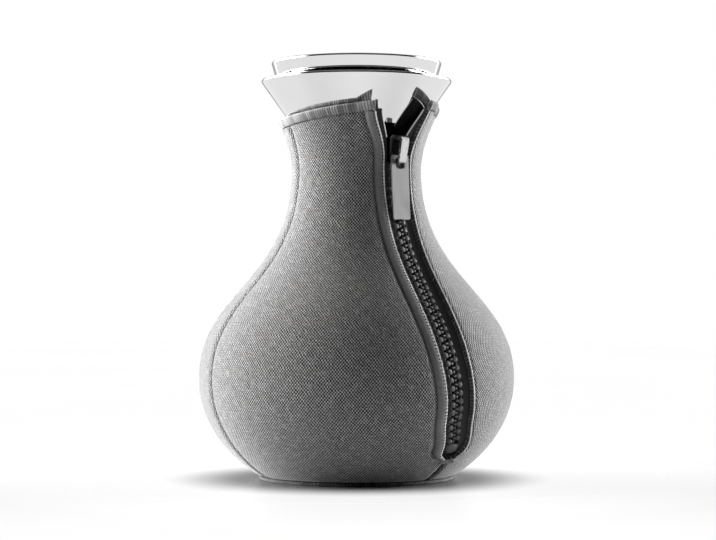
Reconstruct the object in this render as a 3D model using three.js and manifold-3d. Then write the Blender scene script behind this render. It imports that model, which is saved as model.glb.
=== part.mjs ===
// Tea maker: a glass carafe in a zipped, woven cover, with a pouring collar, a strainer and a sunk lid.
// Millimetres, +Z up, the origin on the floor under the axis, and the front of the cover towards -Y.
import * as THREE from 'three';
import { mergeVertices } from 'three/addons/utils/BufferGeometryUtils.js';
import Module from 'manifold-3d';

const wasm = await Module();
wasm.setup();

// Driving dimensions: the cover's outline
const BASE_RADIUS = 45;
const BASE_LIFT = 0.8;
const BASE_SPREAD = 17;
const BASE_RISE = 10;
const BELLY_RADIUS = 75;
const BELLY_HEIGHT = 48;
const BELLY_FULLNESS_BELOW = 20;
const BELLY_FULLNESS_ABOVE = 41;
const NECK_RADIUS = 30.8;
const NECK_HEIGHT = 147;
const NECK_FULLNESS_BELOW = 53;
const NECK_FULLNESS_ABOVE = 10;
const MOUTH_RADIUS = 40.8;
const MOUTH_RISE = 31;
const MOUTH_LEAN = 29;
const MOUTH_FULLNESS = 10;

// Driving dimensions: the cover's cloth
const CLOTH_THICKNESS = 5.5;
const MOUTH_CLOTH_THICKNESS = 2.2;
const THINNING_START_RISE = 2;
const THINNING_END_RISE = 16;
const TOP_EDGE_DROP = 4.2;
const TOP_EDGE_TILT = 3.4;
const TOP_EDGE_PEAK_ANGLE = 50;
const TOP_EDGE_SPREAD = 138;
const HEM_HEIGHT = 4.4;
const HEM_SWELL = 0.4;
const PANEL_FOOT_HEIGHT = 1.6;
const BASE_CLOTH_THICKNESS = 4;
const BASE_BINDING_RADIUS = 0.7;
const BASE_BINDING_HEIGHT = 0.8;
const FLAP_STAND_OFF = 7;
const FLAP_STAND_OFF_ANGLE = 36;
const FLAP_STAND_OFF_SPREAD = 36;
const FLAP_BEND_RISE = 3;

// Driving dimensions: seams, in degrees from the front, positive to the right
const SEAM_LEFT = -64;
const SEAM_BACK_LEFT = -152;
const SEAM_BACK_RIGHT = 130;

// Driving dimensions: the zip
const ZIP_ANGLE_NECK = 38;
const ZIP_ANGLE_BELLY = 34.8;
const ZIP_ANGLE_FOOT = 41;
const ZIP_OPENING_LEFT = 7.3;
const ZIP_OPENING_RIGHT = 8.6;
const ZIP_SPLAY_LEFT = 11;
const TAPE_SPLAY_RIGHT = 5;
const TAPE_SPLAY_RISE = 11;
const ZIP_DEPTH = 3;
const ZIP_FOOT_HEIGHT = 13.5;
const ZIP_FOOT_CLOSE = 1.4;
const ZIP_BELLY_RISE = 32;
const ZIP_NECK_DROP = 17;
const SLIDER_RISE = 8.2;
const BINDING_WIDTH_LEFT = 4.65;
const BINDING_WIDTH_RIGHT = 0.9;
const FLANGE_THICKNESS = 2.2;
const FLANGE_STEP = 0.6;
const BINDING_ROLL = 0.4;
const TAPE_WIDTH = 9.3;
const TAPE_THICKNESS = 0.7;
const TOOTH_PITCH = 3.95;
const TOOTH_THICKNESS = 2.6;
const TOOTH_ROOT = 3.8;
const TOOTH_REACH = 0.85;
const TOOTH_HALF_WIDTH = 1.42;
const TOOTH_HEAD_HALF_WIDTH = 0.56;
const TOOTH_NECK_HALF_WIDTH = 0.42;
const TOOTH_CORD_WIDTH = 1;
const STOP_LENGTH = 5.6;
const STOP_THICKNESS = 3.2;
const END_BAR_HEIGHT = 3;
const END_BAR_WIDTH = 9;

// Driving dimensions: the slider and its pull tab
const SLIDER_LENGTH = 13;
const SLIDER_FLARE = 0.6;
const SLIDER_PLATE_THICKNESS = 0.85;
const SLIDER_LOWER_TRIM = 1.2;
const SLIDER_FLANGE_WIDTH = 0.9;
const SLIDER_POST_WIDTH = 3;
const BRIDGE_WIDTH = 4.2;
const BRIDGE_THICKNESS = 1.4;
const BRIDGE_CLEAR_HEIGHT = 2.7;
const BRIDGE_LENGTH = 12.4;
const BRIDGE_FOOT_LENGTH = 1.8;
const TAB_WIDTH = 10;
const TAB_LENGTH = 30;
const TAB_LEAN = 3;
const TAB_THICKNESS = 1;
const TAB_SLOT_WIDTH = 5.2;
const TAB_SLOT_LENGTH = 3.9;
const TAB_CROSSBAR = 1.2;
const TAB_CORNER = 0.8;

// Driving dimensions: carafe, collar, strainer and lid
const GLASS_WALL = 2;
const GLASS_FLOOR = 4;
const GLASS_PUNT = 2;
const COLLAR_OVERHANG = 4.6;
const COLLAR_RIM_RISE = 12.2;
const COLLAR_CONE_RISE = 9.16;
const COLLAR_LIP = 1;
const COLLAR_WALL = 0.9;
const COLLAR_SLEEVE_DROP = 7;
const NECK_SEAL_SPACE = 1.3;
const SEAL_HEIGHT = 5;
const STRAINER_INSET = 4.8;
const STRAINER_RIM_RISE = 8.3;
const STRAINER_SLOPE = 17;
const STRAINER_WALL = 0.8;
const STRAINER_LIP = 0.8;
const STRAINER_THROAT_RISE = 2;
const BASKET_FOOT_HEIGHT = 42;
const BASKET_WALL = 0.7;
const BASKET_SLOT_COLUMNS = 8;
const BASKET_SLOT_ROWS = 3;
const BASKET_SLOT_WIDTH = 3;
const BASKET_SLOT_LENGTH = 22;
const LID_SINK = 11;
const LID_PLATE_THICKNESS = 1;
const LID_SKIRT_DEPTH = 6;
const LID_SEAL_WIDTH = 2.6;
const LID_SEAL_HEIGHT = 3.6;
const KNOB_RADIUS = 8;
const KNOB_WAIST_RADIUS = 5;
const KNOB_HEIGHT = 8.5;
const SCREW_RADIUS = 2;
const SCREW_HEAD_RADIUS = 3.8;
const SCREW_HEAD_HEIGHT = 2;
const SCREW_LENGTH = 6;

// Clearances and facet counts
const GAP = 0.3;
const GLASS_GAP = 0.7;
const RUNNING_GAP = 0.25;
const CHANNEL_GAP = 0.55;
const TURN_SEGMENTS = 36;
const SMALL_TURN_SEGMENTS = 20;
const FULL_TURN = 360;

// Heights and radii that follow from the neck, the mouth and the rims
const mouthHeight = NECK_HEIGHT + MOUTH_RISE;
const topEdgeHeight = mouthHeight - TOP_EDGE_DROP;
const thinningStart = NECK_HEIGHT + THINNING_START_RISE;
const thinningEnd = NECK_HEIGHT + THINNING_END_RISE;
const flapBendHeight = NECK_HEIGHT + FLAP_BEND_RISE;
const zipBellyTop = BELLY_HEIGHT + ZIP_BELLY_RISE;
const zipNeckStart = NECK_HEIGHT - ZIP_NECK_DROP;
const collarRimRadius = MOUTH_RADIUS + COLLAR_OVERHANG;
const collarRimHeight = mouthHeight + COLLAR_RIM_RISE;
const collarSleeveEnd = NECK_HEIGHT - COLLAR_SLEEVE_DROP;
const strainerRimRadius = collarRimRadius - STRAINER_INSET;
const strainerRimHeight = collarRimHeight + STRAINER_RIM_RISE;
const strainerThroatEnd = NECK_HEIGHT + STRAINER_THROAT_RISE;
const lidHeight = strainerRimHeight - LID_SINK;

const degrees = THREE.MathUtils.degToRad;
const { lerp, smoothstep } = THREE.MathUtils;

// Closed solids from grids, turned profiles and booleans
function positionsOnly(geometry) {
  geometry.deleteAttribute('normal');
  geometry.deleteAttribute('uv');
  return mergeVertices(geometry, 1e-4);
}

function signedVolume(geometry) {
  const position = geometry.getAttribute('position');
  const index = geometry.getIndex();
  const corner = [new THREE.Vector3(), new THREE.Vector3(), new THREE.Vector3()];
  let volume = 0;
  for (let i = 0; i < index.count; i += 3) {
    corner.forEach((point, k) => point.fromBufferAttribute(position, index.getX(i + k)));
    volume += corner[0].dot(corner[1].clone().cross(corner[2])) / 6;
  }
  return volume;
}

function facingOut(geometry) {
  if (signedVolume(geometry) < 0) {
    const index = geometry.getIndex();
    for (let i = 0; i < index.count; i += 3) {
      const first = index.getX(i);
      index.setX(i, index.getX(i + 1));
      index.setX(i + 1, first);
    }
  }
  return geometry;
}

// A sheet with thickness: pointAt(row, column, 0) is its outer face, and with 1 it is the inner one.
function sheetSolid(rows, columns, pointAt) {
  const points = [];
  const faces = [];
  const stride = columns + 1;
  const layer = stride * (rows + 1);
  for (let side = 0; side < 2; side += 1) {
    for (let row = 0; row <= rows; row += 1) {
      for (let column = 0; column <= columns; column += 1) {
        points.push(...pointAt(row, column, side).toArray());
      }
    }
  }
  const quad = (a, b, c, d) => faces.push(a, b, c, a, c, d);
  for (let row = 0; row < rows; row += 1) {
    for (let column = 0; column < columns; column += 1) {
      const a = row * stride + column;
      quad(a, a + 1, a + stride + 1, a + stride);
      quad(layer + a, layer + a + stride, layer + a + stride + 1, layer + a + 1);
    }
  }
  for (let row = 0; row < rows; row += 1) {
    const first = row * stride;
    const last = first + columns;
    quad(first, first + stride, layer + first + stride, layer + first);
    quad(last, layer + last, layer + last + stride, last + stride);
  }
  for (let column = 0; column < columns; column += 1) {
    const top = rows * stride + column;
    quad(column, layer + column, layer + column + 1, column + 1);
    quad(top, top + 1, layer + top + 1, layer + top);
  }
  const geometry = new THREE.BufferGeometry();
  geometry.setAttribute('position', new THREE.Float32BufferAttribute(points, 3));
  geometry.setIndex(faces);
  return facingOut(geometry);
}

// A turned solid from [radius, height] pairs, closed on itself or on the axis.
function turned(profile, segments = TURN_SEGMENTS) {
  const points = profile.map(([radius, height]) => new THREE.Vector2(radius, height));
  const geometry = new THREE.LatheGeometry(points, segments);
  geometry.rotateX(Math.PI / 2);
  return facingOut(positionsOnly(geometry));
}

function ring(profile, segments) {
  return turned([...profile, profile[0]], segments);
}

function toManifold(geometry) {
  const ready = geometry.getIndex() && !geometry.getAttribute('normal');
  const closed = ready ? geometry : positionsOnly(geometry);
  facingOut(closed);
  const vertProperties = new Float32Array(closed.getAttribute('position').array);
  const triVerts = new Uint32Array(closed.getIndex().array);
  return new wasm.Manifold(new wasm.Mesh({ numProp: 3, vertProperties, triVerts }));
}

function fromManifold(solid) {
  const mesh = solid.getMesh();
  const geometry = new THREE.BufferGeometry();
  geometry.setAttribute('position', new THREE.BufferAttribute(mesh.vertProperties, 3));
  geometry.setIndex(new THREE.BufferAttribute(mesh.triVerts, 1));
  return geometry;
}

function joined(geometries) {
  return fromManifold(geometries.map(toManifold).reduce((whole, piece) => whole.add(piece)));
}

function cut(geometry, cutters) {
  const solids = cutters.map(toManifold);
  return fromManifold(solids.reduce((whole, piece) => whole.subtract(piece), toManifold(geometry)));
}

// A flat outline of [x, y] pairs, extruded along +Z from the height given.
function prism(outline, from, to) {
  const shape = new THREE.Shape(outline.map(([x, y]) => new THREE.Vector2(x, y)));
  const geometry = new THREE.ExtrudeGeometry(shape, { depth: to - from, bevelEnabled: false });
  geometry.translate(0, 0, from);
  return positionsOnly(geometry);
}

// The cover's outline, run from its foot to its mouth by arc length
function corner(radius, height) {
  return new THREE.Vector2(radius, height);
}

const mouthLean = degrees(MOUTH_LEAN);
const outline = new THREE.CurvePath();
outline.add(new THREE.CubicBezierCurve(
  corner(BASE_RADIUS, BASE_LIFT),
  corner(BASE_RADIUS + BASE_SPREAD, BASE_LIFT + BASE_RISE),
  corner(BELLY_RADIUS, BELLY_HEIGHT - BELLY_FULLNESS_BELOW),
  corner(BELLY_RADIUS, BELLY_HEIGHT),
));
outline.add(new THREE.CubicBezierCurve(
  corner(BELLY_RADIUS, BELLY_HEIGHT),
  corner(BELLY_RADIUS, BELLY_HEIGHT + BELLY_FULLNESS_ABOVE),
  corner(NECK_RADIUS, NECK_HEIGHT - NECK_FULLNESS_BELOW),
  corner(NECK_RADIUS, NECK_HEIGHT),
));
outline.add(new THREE.CubicBezierCurve(
  corner(NECK_RADIUS, NECK_HEIGHT),
  corner(NECK_RADIUS, NECK_HEIGHT + NECK_FULLNESS_ABOVE),
  corner(
    MOUTH_RADIUS - MOUTH_FULLNESS * Math.sin(mouthLean),
    mouthHeight - MOUTH_FULLNESS * Math.cos(mouthLean),
  ),
  corner(MOUTH_RADIUS, mouthHeight),
));
const outlineLength = outline.getLength();

function outlineAt(arc) {
  const place = THREE.MathUtils.clamp(arc / outlineLength, 0, 1);
  const point = outline.getPoint(place);
  const tangent = outline.getTangent(place);
  return { radius: point.x, height: point.y, normal: new THREE.Vector2(tangent.y, -tangent.x) };
}

// The arc length where a rising test first fails, found by halving.
function arcWhere(stillBelow) {
  let low = 0;
  let high = outlineLength;
  for (let step = 0; step < 40; step += 1) {
    const middle = (low + high) / 2;
    if (stillBelow(middle)) {
      low = middle;
    } else {
      high = middle;
    }
  }
  return low;
}

function arcAtHeight(height) {
  return arcWhere((arc) => outlineAt(arc).height < height);
}

// The outline moved inwards by a depth, as a [radius, height] pair.
function inset(arc, depth) {
  const { radius, height, normal } = outlineAt(arc);
  return [radius - depth * normal.x, height - depth * normal.y];
}

// The angle from one direction to another, by the shorter way round.
function turnFrom(start, angle) {
  return THREE.MathUtils.euclideanModulo(angle - start + FULL_TURN / 2, FULL_TURN) - FULL_TURN / 2;
}

// Both flaps of the cover stand away from the collar beside the open top of the zip.
function flapStandOff(angle, height) {
  const share = turnFrom(FLAP_STAND_OFF_ANGLE, angle) / FLAP_STAND_OFF_SPREAD;
  const across = Math.max(0, 1 - share ** 2);
  return FLAP_STAND_OFF * across * smoothstep(height, flapBendHeight, mouthHeight);
}

function coverPoint(angle, arc, depth) {
  const [radius, height] = inset(arc, depth);
  const reach = radius + flapStandOff(angle, outlineAt(arc).height);
  const turn = degrees(angle);
  return new THREE.Vector3(reach * Math.sin(turn), -reach * Math.cos(turn), height);
}

// The top edge is highest beside the zip and lowest round the back.
function topArc(angle) {
  const share = Math.min(1, Math.abs(turnFrom(TOP_EDGE_PEAK_ANGLE, angle)) / TOP_EDGE_SPREAD);
  return arcAtHeight(topEdgeHeight + TOP_EDGE_TILT * Math.cos(Math.PI * share));
}

function clothThickness(height) {
  return lerp(CLOTH_THICKNESS, MOUTH_CLOTH_THICKNESS, smoothstep(height, thinningStart, thinningEnd));
}

// The zip's own line: angle round the cover, and distances to its left (side -1) and right (side 1)
function zipAngle(height) {
  if (height > zipBellyTop) {
    return lerp(ZIP_ANGLE_BELLY, ZIP_ANGLE_NECK, smoothstep(height, zipBellyTop, zipNeckStart));
  }
  return lerp(ZIP_ANGLE_FOOT, ZIP_ANGLE_BELLY, smoothstep(height, ZIP_FOOT_HEIGHT, zipBellyTop));
}

function angleBeside(arc, lateral) {
  const { radius, height } = outlineAt(arc);
  return zipAngle(height) + THREE.MathUtils.radToDeg(lateral / radius);
}

function zipPoint(arc, lateral, depth) {
  return coverPoint(angleBeside(arc, lateral), arc, depth);
}

// Above the slider the left flap and both tapes lean away from the zip's line.
function leftSplay(arc) {
  return ZIP_SPLAY_LEFT * smoothstep(outlineAt(arc).height, flapBendHeight, mouthHeight);
}

function rightTapeSplay(arc) {
  return TAPE_SPLAY_RIGHT * smoothstep(outlineAt(arc).height, NECK_HEIGHT + TAPE_SPLAY_RISE, mouthHeight);
}

function openingEdge(side, arc) {
  return side < 0 ? ZIP_OPENING_LEFT + leftSplay(arc) : ZIP_OPENING_RIGHT;
}

function bindingWidth(side) {
  return side < 0 ? BINDING_WIDTH_LEFT : BINDING_WIDTH_RIGHT;
}

function tapeEdge(side, arc) {
  return TOOTH_ROOT + GAP + (side < 0 ? leftSplay(arc) : rightTapeSplay(arc));
}

const footArc = arcAtHeight(PANEL_FOOT_HEIGHT);
const zipCloseArc = arcAtHeight(ZIP_FOOT_HEIGHT - ZIP_FOOT_CLOSE);
const zipFootArc = arcAtHeight(ZIP_FOOT_HEIGHT);
const sliderArc = arcAtHeight(NECK_HEIGHT + SLIDER_RISE);
const seamHalfGap = GAP / 2;

// The cover's four panels
const PANEL_ROWS = 22;
const PANEL_COLUMNS = 9;

function panelArc(row, top) {
  const fixed = [footArc, zipCloseArc, zipFootArc];
  return row < 2 ? fixed[row] : lerp(fixed[2], top, (row - 2) / (PANEL_ROWS - 2));
}

function panelTop(angle) {
  return topArc(angle) - HEM_HEIGHT - GAP;
}

function plainPanel(fromAngle, toAngle) {
  return sheetSolid(PANEL_ROWS, PANEL_COLUMNS, (row, column, side) => {
    const share = column / PANEL_COLUMNS;
    const arc = panelArc(row, panelTop(lerp(fromAngle, toAngle, share)));
    const { radius, height } = outlineAt(arc);
    const trim = THREE.MathUtils.radToDeg(seamHalfGap / radius);
    const angle = lerp(fromAngle + trim, toAngle - trim, share);
    return coverPoint(angle, arc, side * clothThickness(height));
  });
}

// A panel beside the zip: its edge is thinned to lie over the zip's tape.
function zipPanel(zipSide, seamAngle) {
  const lateralAt = (column, row, arc) => {
    const edge = row < 2 ? seamHalfGap : openingEdge(zipSide, arc) + bindingWidth(zipSide) + GAP;
    const tapeEnd = tapeEdge(zipSide, arc) + TAPE_WIDTH + GAP;
    return [edge, tapeEnd, tapeEnd + FLANGE_STEP][column];
  };
  const angleAt = (column, row, arc) => {
    const share = Math.max(0, column - 2) / PANEL_COLUMNS;
    const near = angleBeside(arc, zipSide * lateralAt(Math.min(column, 2), row, arc));
    const trim = THREE.MathUtils.radToDeg(seamHalfGap / outlineAt(arc).radius);
    return lerp(near, seamAngle - zipSide * trim, share);
  };
  return sheetSolid(PANEL_ROWS, PANEL_COLUMNS + 2, (row, column, side) => {
    const top = panelTop(angleAt(column, PANEL_ROWS, panelTop(ZIP_ANGLE_NECK)));
    const arc = panelArc(row, top);
    const thickness = column < 2 ? FLANGE_THICKNESS : clothThickness(outlineAt(arc).height);
    return coverPoint(angleAt(column, row, arc), arc, side * thickness);
  });
}

// Strips along the zip share the rows of the panels beside them.
const stripRows = PANEL_ROWS - 2;
const zipTopArc = panelTop(ZIP_ANGLE_NECK);

function stripArc(row, lateralAt) {
  const top = panelTop(angleBeside(zipTopArc, lateralAt(zipTopArc)));
  return lerp(zipFootArc + GAP, top, row / stripRows);
}

function zipBinding(side) {
  return sheetSolid(stripRows, 2, (row, column, face) => {
    const lateralAt = (arc) => side * (openingEdge(side, arc) + bindingWidth(side) * column / 2);
    const arc = stripArc(row, lateralAt);
    const depth = face ? FLANGE_THICKNESS : -BINDING_ROLL * (column % 2);
    return zipPoint(arc, lateralAt(arc), depth);
  });
}

function zipTape(side) {
  return sheetSolid(stripRows, 2, (row, column, face) => {
    const lateralAt = (arc) => side * (tapeEdge(side, arc) + TAPE_WIDTH * column / 2);
    const arc = stripArc(row, lateralAt);
    return zipPoint(arc, lateralAt(arc), ZIP_DEPTH + (face - 0.5) * TAPE_THICKNESS);
  });
}

// The overlocked hem runs round the top from one edge of the zip to the other.
const HEM_COLUMNS = 48;

function topHem() {
  const highest = topArc(ZIP_ANGLE_NECK);
  const start = angleBeside(highest, -openingEdge(-1, highest));
  const end = angleBeside(highest, openingEdge(1, highest)) - FULL_TURN;
  return sheetSolid(2, HEM_COLUMNS, (row, column, side) => {
    const angle = lerp(start, end, column / HEM_COLUMNS);
    const arc = topArc(angle) - HEM_HEIGHT * (1 - row / 2);
    const swell = row === 1 ? HEM_SWELL : 0;
    return coverPoint(angle, arc, side ? MOUTH_CLOTH_THICKNESS : -swell);
  });
}

function baseBinding() {
  const steps = 6;
  const bindingCentre = BASE_RADIUS + BASE_BINDING_RADIUS;
  const profile = [];
  for (let step = 0; step < steps; step += 1) {
    const turn = step / steps * 2 * Math.PI;
    profile.push([
      bindingCentre + BASE_BINDING_RADIUS * Math.cos(turn),
      BASE_BINDING_HEIGHT + BASE_BINDING_RADIUS * Math.sin(turn),
    ]);
  }
  return ring(profile);
}

function baseDisc() {
  const radius = BASE_RADIUS - BASE_BINDING_RADIUS;
  return turned([[0, 0], [radius, 0], [radius, BASE_CLOTH_THICKNESS], [0, BASE_CLOTH_THICKNESS]]);
}

// A flat outline of [along, lateral] pairs, laid on the zip's line, with a thickness about the zip's depth.
function zipBlock(shape, arc, thickness) {
  const contour = shape.map(([along, lateral]) => new THREE.Vector2(along, lateral));
  if (THREE.ShapeUtils.isClockWise(contour)) {
    contour.reverse();
  }
  const count = contour.length;
  const points = [];
  const faces = [];
  [-0.5, 0.5].forEach((share) => {
    contour.forEach(({ x, y }) => {
      points.push(...zipPoint(arc + x, y, ZIP_DEPTH + share * thickness).toArray());
    });
  });
  THREE.ShapeUtils.triangulateShape(contour, []).forEach(([a, b, c]) => {
    faces.push(a, b, c, count + a, count + c, count + b);
  });
  contour.forEach((_, k) => {
    const next = (k + 1) % count;
    faces.push(k, count + k, count + next, k, count + next, next);
  });
  const geometry = new THREE.BufferGeometry();
  geometry.setAttribute('position', new THREE.Float32BufferAttribute(points, 3));
  geometry.setIndex(faces);
  return facingOut(geometry);
}

// One row of teeth, moulded on the cord that runs along its tape's edge
const stopArc = zipFootArc + GAP;
const firstToothArc = stopArc + STOP_LENGTH + GAP + TOOTH_HALF_WIDTH;

function toothRow(side) {
  const offset = side < 0 ? 0 : TOOTH_PITCH / 2;
  const start = firstToothArc + offset;
  const count = Math.floor((sliderArc - start) / TOOTH_PITCH);
  const half = [
    [TOOTH_HALF_WIDTH, TOOTH_ROOT],
    [TOOTH_HALF_WIDTH, TOOTH_REACH + GAP / 2],
    [TOOTH_NECK_HALF_WIDTH, TOOTH_REACH * 0.3],
    [TOOTH_HEAD_HALF_WIDTH, -TOOTH_REACH],
  ];
  const mirrored = half.map(([along, lateral]) => [-along, lateral]).reverse();
  const tooth = [...half, ...mirrored].map(([along, lateral]) => [along, side * lateral]);
  const cordSteps = count - 1;
  const cordLength = (count - 1) * TOOTH_PITCH;
  const cord = sheetSolid(cordSteps, 1, (row, column, face) => {
    const lateral = TOOTH_ROOT - TOOTH_CORD_WIDTH * (0.2 + column);
    const depth = ZIP_DEPTH + (face - 0.5) * TOOTH_CORD_WIDTH;
    return zipPoint(start + cordLength * row / cordSteps, side * lateral, depth);
  });
  const teeth = Array.from({ length: count }, (_, k) => {
    return zipBlock(tooth, start + k * TOOTH_PITCH, TOOTH_THICKNESS);
  });
  return joined([cord, ...teeth]);
}

function bottomStop() {
  const wide = TOOTH_ROOT;
  const narrow = TOOTH_ROOT / 2;
  const shape = [
    [STOP_LENGTH, -wide], [STOP_LENGTH * 0.4, -wide], [STOP_LENGTH * 0.1, -narrow],
    [0, 0],
    [STOP_LENGTH * 0.1, narrow], [STOP_LENGTH * 0.4, wide], [STOP_LENGTH, wide],
  ];
  return zipBlock(shape, stopArc, STOP_THICKNESS);
}

function endBar() {
  return sheetSolid(1, 4, (row, column, face) => {
    const arc = zipCloseArc - END_BAR_HEIGHT + END_BAR_HEIGHT * row;
    return zipPoint(arc, END_BAR_WIDTH * (column / 4 - 0.5), face ? -GAP : -GAP - BINDING_ROLL);
  });
}

// The slider, in its own frame: X across the zip, Y up along it, Z out of the cover, the chain at Z = 0
const channelHalf = TOOTH_THICKNESS / 2 + CHANNEL_GAP;
const plateTop = channelHalf + SLIDER_PLATE_THICKNESS;
const sliderHalf = SLIDER_LENGTH / 2;

function sliderBody() {
  const inner = TOOTH_ROOT + CHANNEL_GAP;
  const foot = inner + SLIDER_FLANGE_WIDTH;
  const top = foot + SLIDER_FLARE;
  const shield = (end) => [
    [-foot, -sliderHalf], [foot, -sliderHalf], [foot, -sliderHalf * 0.2], [top, sliderHalf * 0.4],
    [top, end - sliderHalf * 0.25], [top * 0.7, end], [-top * 0.7, end],
    [-top, end - sliderHalf * 0.25], [-top, sliderHalf * 0.4], [-foot, -sliderHalf * 0.2],
  ];
  const tapeSlot = TAPE_THICKNESS / 2 + 2 * CHANNEL_GAP;
  const bite = SLIDER_PLATE_THICKNESS / 2;
  const pieces = [
    prism(shield(sliderHalf), channelHalf, plateTop),
    prism(shield(sliderHalf - SLIDER_LOWER_TRIM), -plateTop, -channelHalf),
  ];
  [-1, 1].forEach((side) => {
    const flange = [
      [side * inner, -sliderHalf], [side * foot, -sliderHalf],
      [side * foot, -sliderHalf * 0.2], [side * inner, -sliderHalf * 0.2],
    ];
    pieces.push(prism(flange, tapeSlot, channelHalf + bite));
    pieces.push(prism(flange, -channelHalf - bite, -tapeSlot));
  });
  const post = [
    [0, TOOTH_PITCH * 0.4], [SLIDER_POST_WIDTH / 2, sliderHalf * 0.6], [0, sliderHalf - SLIDER_LOWER_TRIM],
    [-SLIDER_POST_WIDTH / 2, sliderHalf * 0.6],
  ];
  pieces.push(prism(post, -channelHalf - bite, channelHalf + bite));
  return joined(pieces);
}

// The bridge is an arch over the upper plate, extruded across from its side view.
const archTop = plateTop + BRIDGE_CLEAR_HEIGHT;
const bridgeEnd = BRIDGE_LENGTH / 2;
const archEnd = bridgeEnd - BRIDGE_FOOT_LENGTH;

function sliderBridge() {
  const seat = plateTop + GAP;
  const shape = new THREE.Shape();
  shape.moveTo(-bridgeEnd, seat);
  shape.lineTo(-archEnd, seat);
  shape.lineTo(-archEnd, archTop);
  shape.lineTo(archEnd, archTop);
  shape.lineTo(archEnd, seat);
  shape.lineTo(bridgeEnd, seat);
  shape.lineTo(bridgeEnd, archTop);
  shape.absarc(bridgeEnd - BRIDGE_THICKNESS, archTop, BRIDGE_THICKNESS, 0, Math.PI / 2, false);
  shape.absarc(BRIDGE_THICKNESS - bridgeEnd, archTop, BRIDGE_THICKNESS, Math.PI / 2, Math.PI, false);
  const extrusion = { depth: BRIDGE_WIDTH, bevelEnabled: false, curveSegments: 5 };
  const geometry = new THREE.ExtrudeGeometry(shape, extrusion);
  geometry.translate(0, 0, -BRIDGE_WIDTH / 2);
  const sideways = new THREE.Matrix4().makeBasis(
    new THREE.Vector3(0, 1, 0),
    new THREE.Vector3(0, 0, 1),
    new THREE.Vector3(1, 0, 0),
  );
  geometry.applyMatrix4(sideways);
  return positionsOnly(geometry);
}

// The pull tab hangs by its crossbar inside the arch, with the bridge's foot in its slot.
const tabSwingRadius = Math.hypot(TAB_CROSSBAR, TAB_THICKNESS) / 2;
const tabClearance = tabSwingRadius + RUNNING_GAP;
const tabPivot = new THREE.Vector3(0, tabClearance - archEnd, plateTop + tabClearance);

function pullTab() {
  const half = TAB_WIDTH / 2;
  const top = TAB_CROSSBAR / 2;
  const foot = top - TAB_LENGTH;
  const shape = new THREE.Shape();
  shape.moveTo(half, top);
  shape.lineTo(-half, top);
  shape.lineTo(-half, foot + TAB_CORNER);
  shape.absarc(TAB_CORNER - half, foot + TAB_CORNER, TAB_CORNER, Math.PI, Math.PI * 1.5, false);
  shape.absarc(half - TAB_CORNER, foot + TAB_CORNER, TAB_CORNER, Math.PI * 1.5, Math.PI * 2, false);
  shape.closePath();
  const slotHalf = TAB_SLOT_WIDTH / 2;
  const slotFoot = -top - TAB_SLOT_LENGTH;
  const slot = new THREE.Path();
  slot.moveTo(-slotHalf, -top);
  slot.lineTo(slotHalf, -top);
  slot.absellipse(0, slotFoot, slotHalf, TAB_SLOT_WIDTH / 4, 0, -Math.PI, true);
  slot.closePath();
  shape.holes.push(slot);
  const extrusion = { depth: TAB_THICKNESS, bevelEnabled: false, curveSegments: 8 };
  const geometry = new THREE.ExtrudeGeometry(shape, extrusion);
  geometry.translate(0, 0, -TAB_THICKNESS / 2);
  return positionsOnly(geometry);
}

// The glass carafe follows the cover's inside up to the seat of the collar.
const glassDepth = CLOTH_THICKNESS + GLASS_GAP;
const neckBore = NECK_RADIUS - glassDepth - GLASS_WALL;
const sleeveRadius = neckBore - NECK_SEAL_SPACE;
const collarConeHeight = collarRimHeight - NECK_HEIGHT - COLLAR_CONE_RISE;
const collarTangent = (collarRimRadius - sleeveRadius) / collarConeHeight;
const collarTurn = Math.atan(collarTangent);
const lipRadius = collarRimRadius - COLLAR_LIP;
const lipHeight = collarRimHeight - COLLAR_LIP;

function collarRadius(height) {
  const tangentRadius = lipRadius + COLLAR_LIP * Math.cos(collarTurn);
  const tangentHeight = lipHeight - COLLAR_LIP * Math.sin(collarTurn);
  return tangentRadius + (height - tangentHeight) * collarTangent;
}

function collarHeight(radius) {
  const atRim = collarRadius(collarRimHeight);
  return collarRimHeight - (atRim - radius) / collarTangent;
}

const glassFoot = BASE_CLOTH_THICKNESS + GLASS_GAP;
const glassTopArc = arcWhere((arc) => {
  const [radius, height] = inset(arc, glassDepth + GLASS_WALL);
  return height < NECK_HEIGHT || radius - collarRadius(height) > GAP;
});
const GLASS_ROWS = 16;

function glassSide(depth, lowest) {
  const startArc = arcWhere((arc) => inset(arc, depth)[1] < lowest);
  return Array.from({ length: GLASS_ROWS + 1 }, (_, row) => {
    return inset(lerp(startArc, glassTopArc, row / GLASS_ROWS), depth);
  });
}

function glassCarafe() {
  const outer = glassSide(glassDepth, glassFoot + GLASS_FLOOR / 4);
  const inner = glassSide(glassDepth + GLASS_WALL, glassFoot + GLASS_FLOOR + GLASS_WALL);
  const [footRadius] = outer[0];
  const [floorRadius] = inner[0];
  const [topRadius, topHeight] = inset(glassTopArc, glassDepth + GLASS_WALL / 2);
  return turned([
    [0, glassFoot + GLASS_PUNT],
    [footRadius / 2, glassFoot + GLASS_PUNT * 0.7],
    [footRadius - GLASS_FLOOR, glassFoot],
    [footRadius - GLASS_FLOOR / 4, glassFoot],
    ...outer,
    [topRadius, topHeight + GLASS_WALL / 4],
    ...inner.reverse(),
    [floorRadius - GLASS_WALL, glassFoot + GLASS_FLOOR],
    [0, glassFoot + GLASS_FLOOR],
  ]);
}

// A rolled lip: points on a half circle from the outer face of a sloping wall over to its inner face.
function rolledLip(centreRadius, centreHeight, lip, slope) {
  const steps = 5;
  return Array.from({ length: steps + 1 }, (_, step) => {
    const turn = Math.PI * step / steps - slope;
    return [centreRadius + lip * Math.cos(turn), centreHeight + lip * Math.sin(turn)];
  });
}

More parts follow.
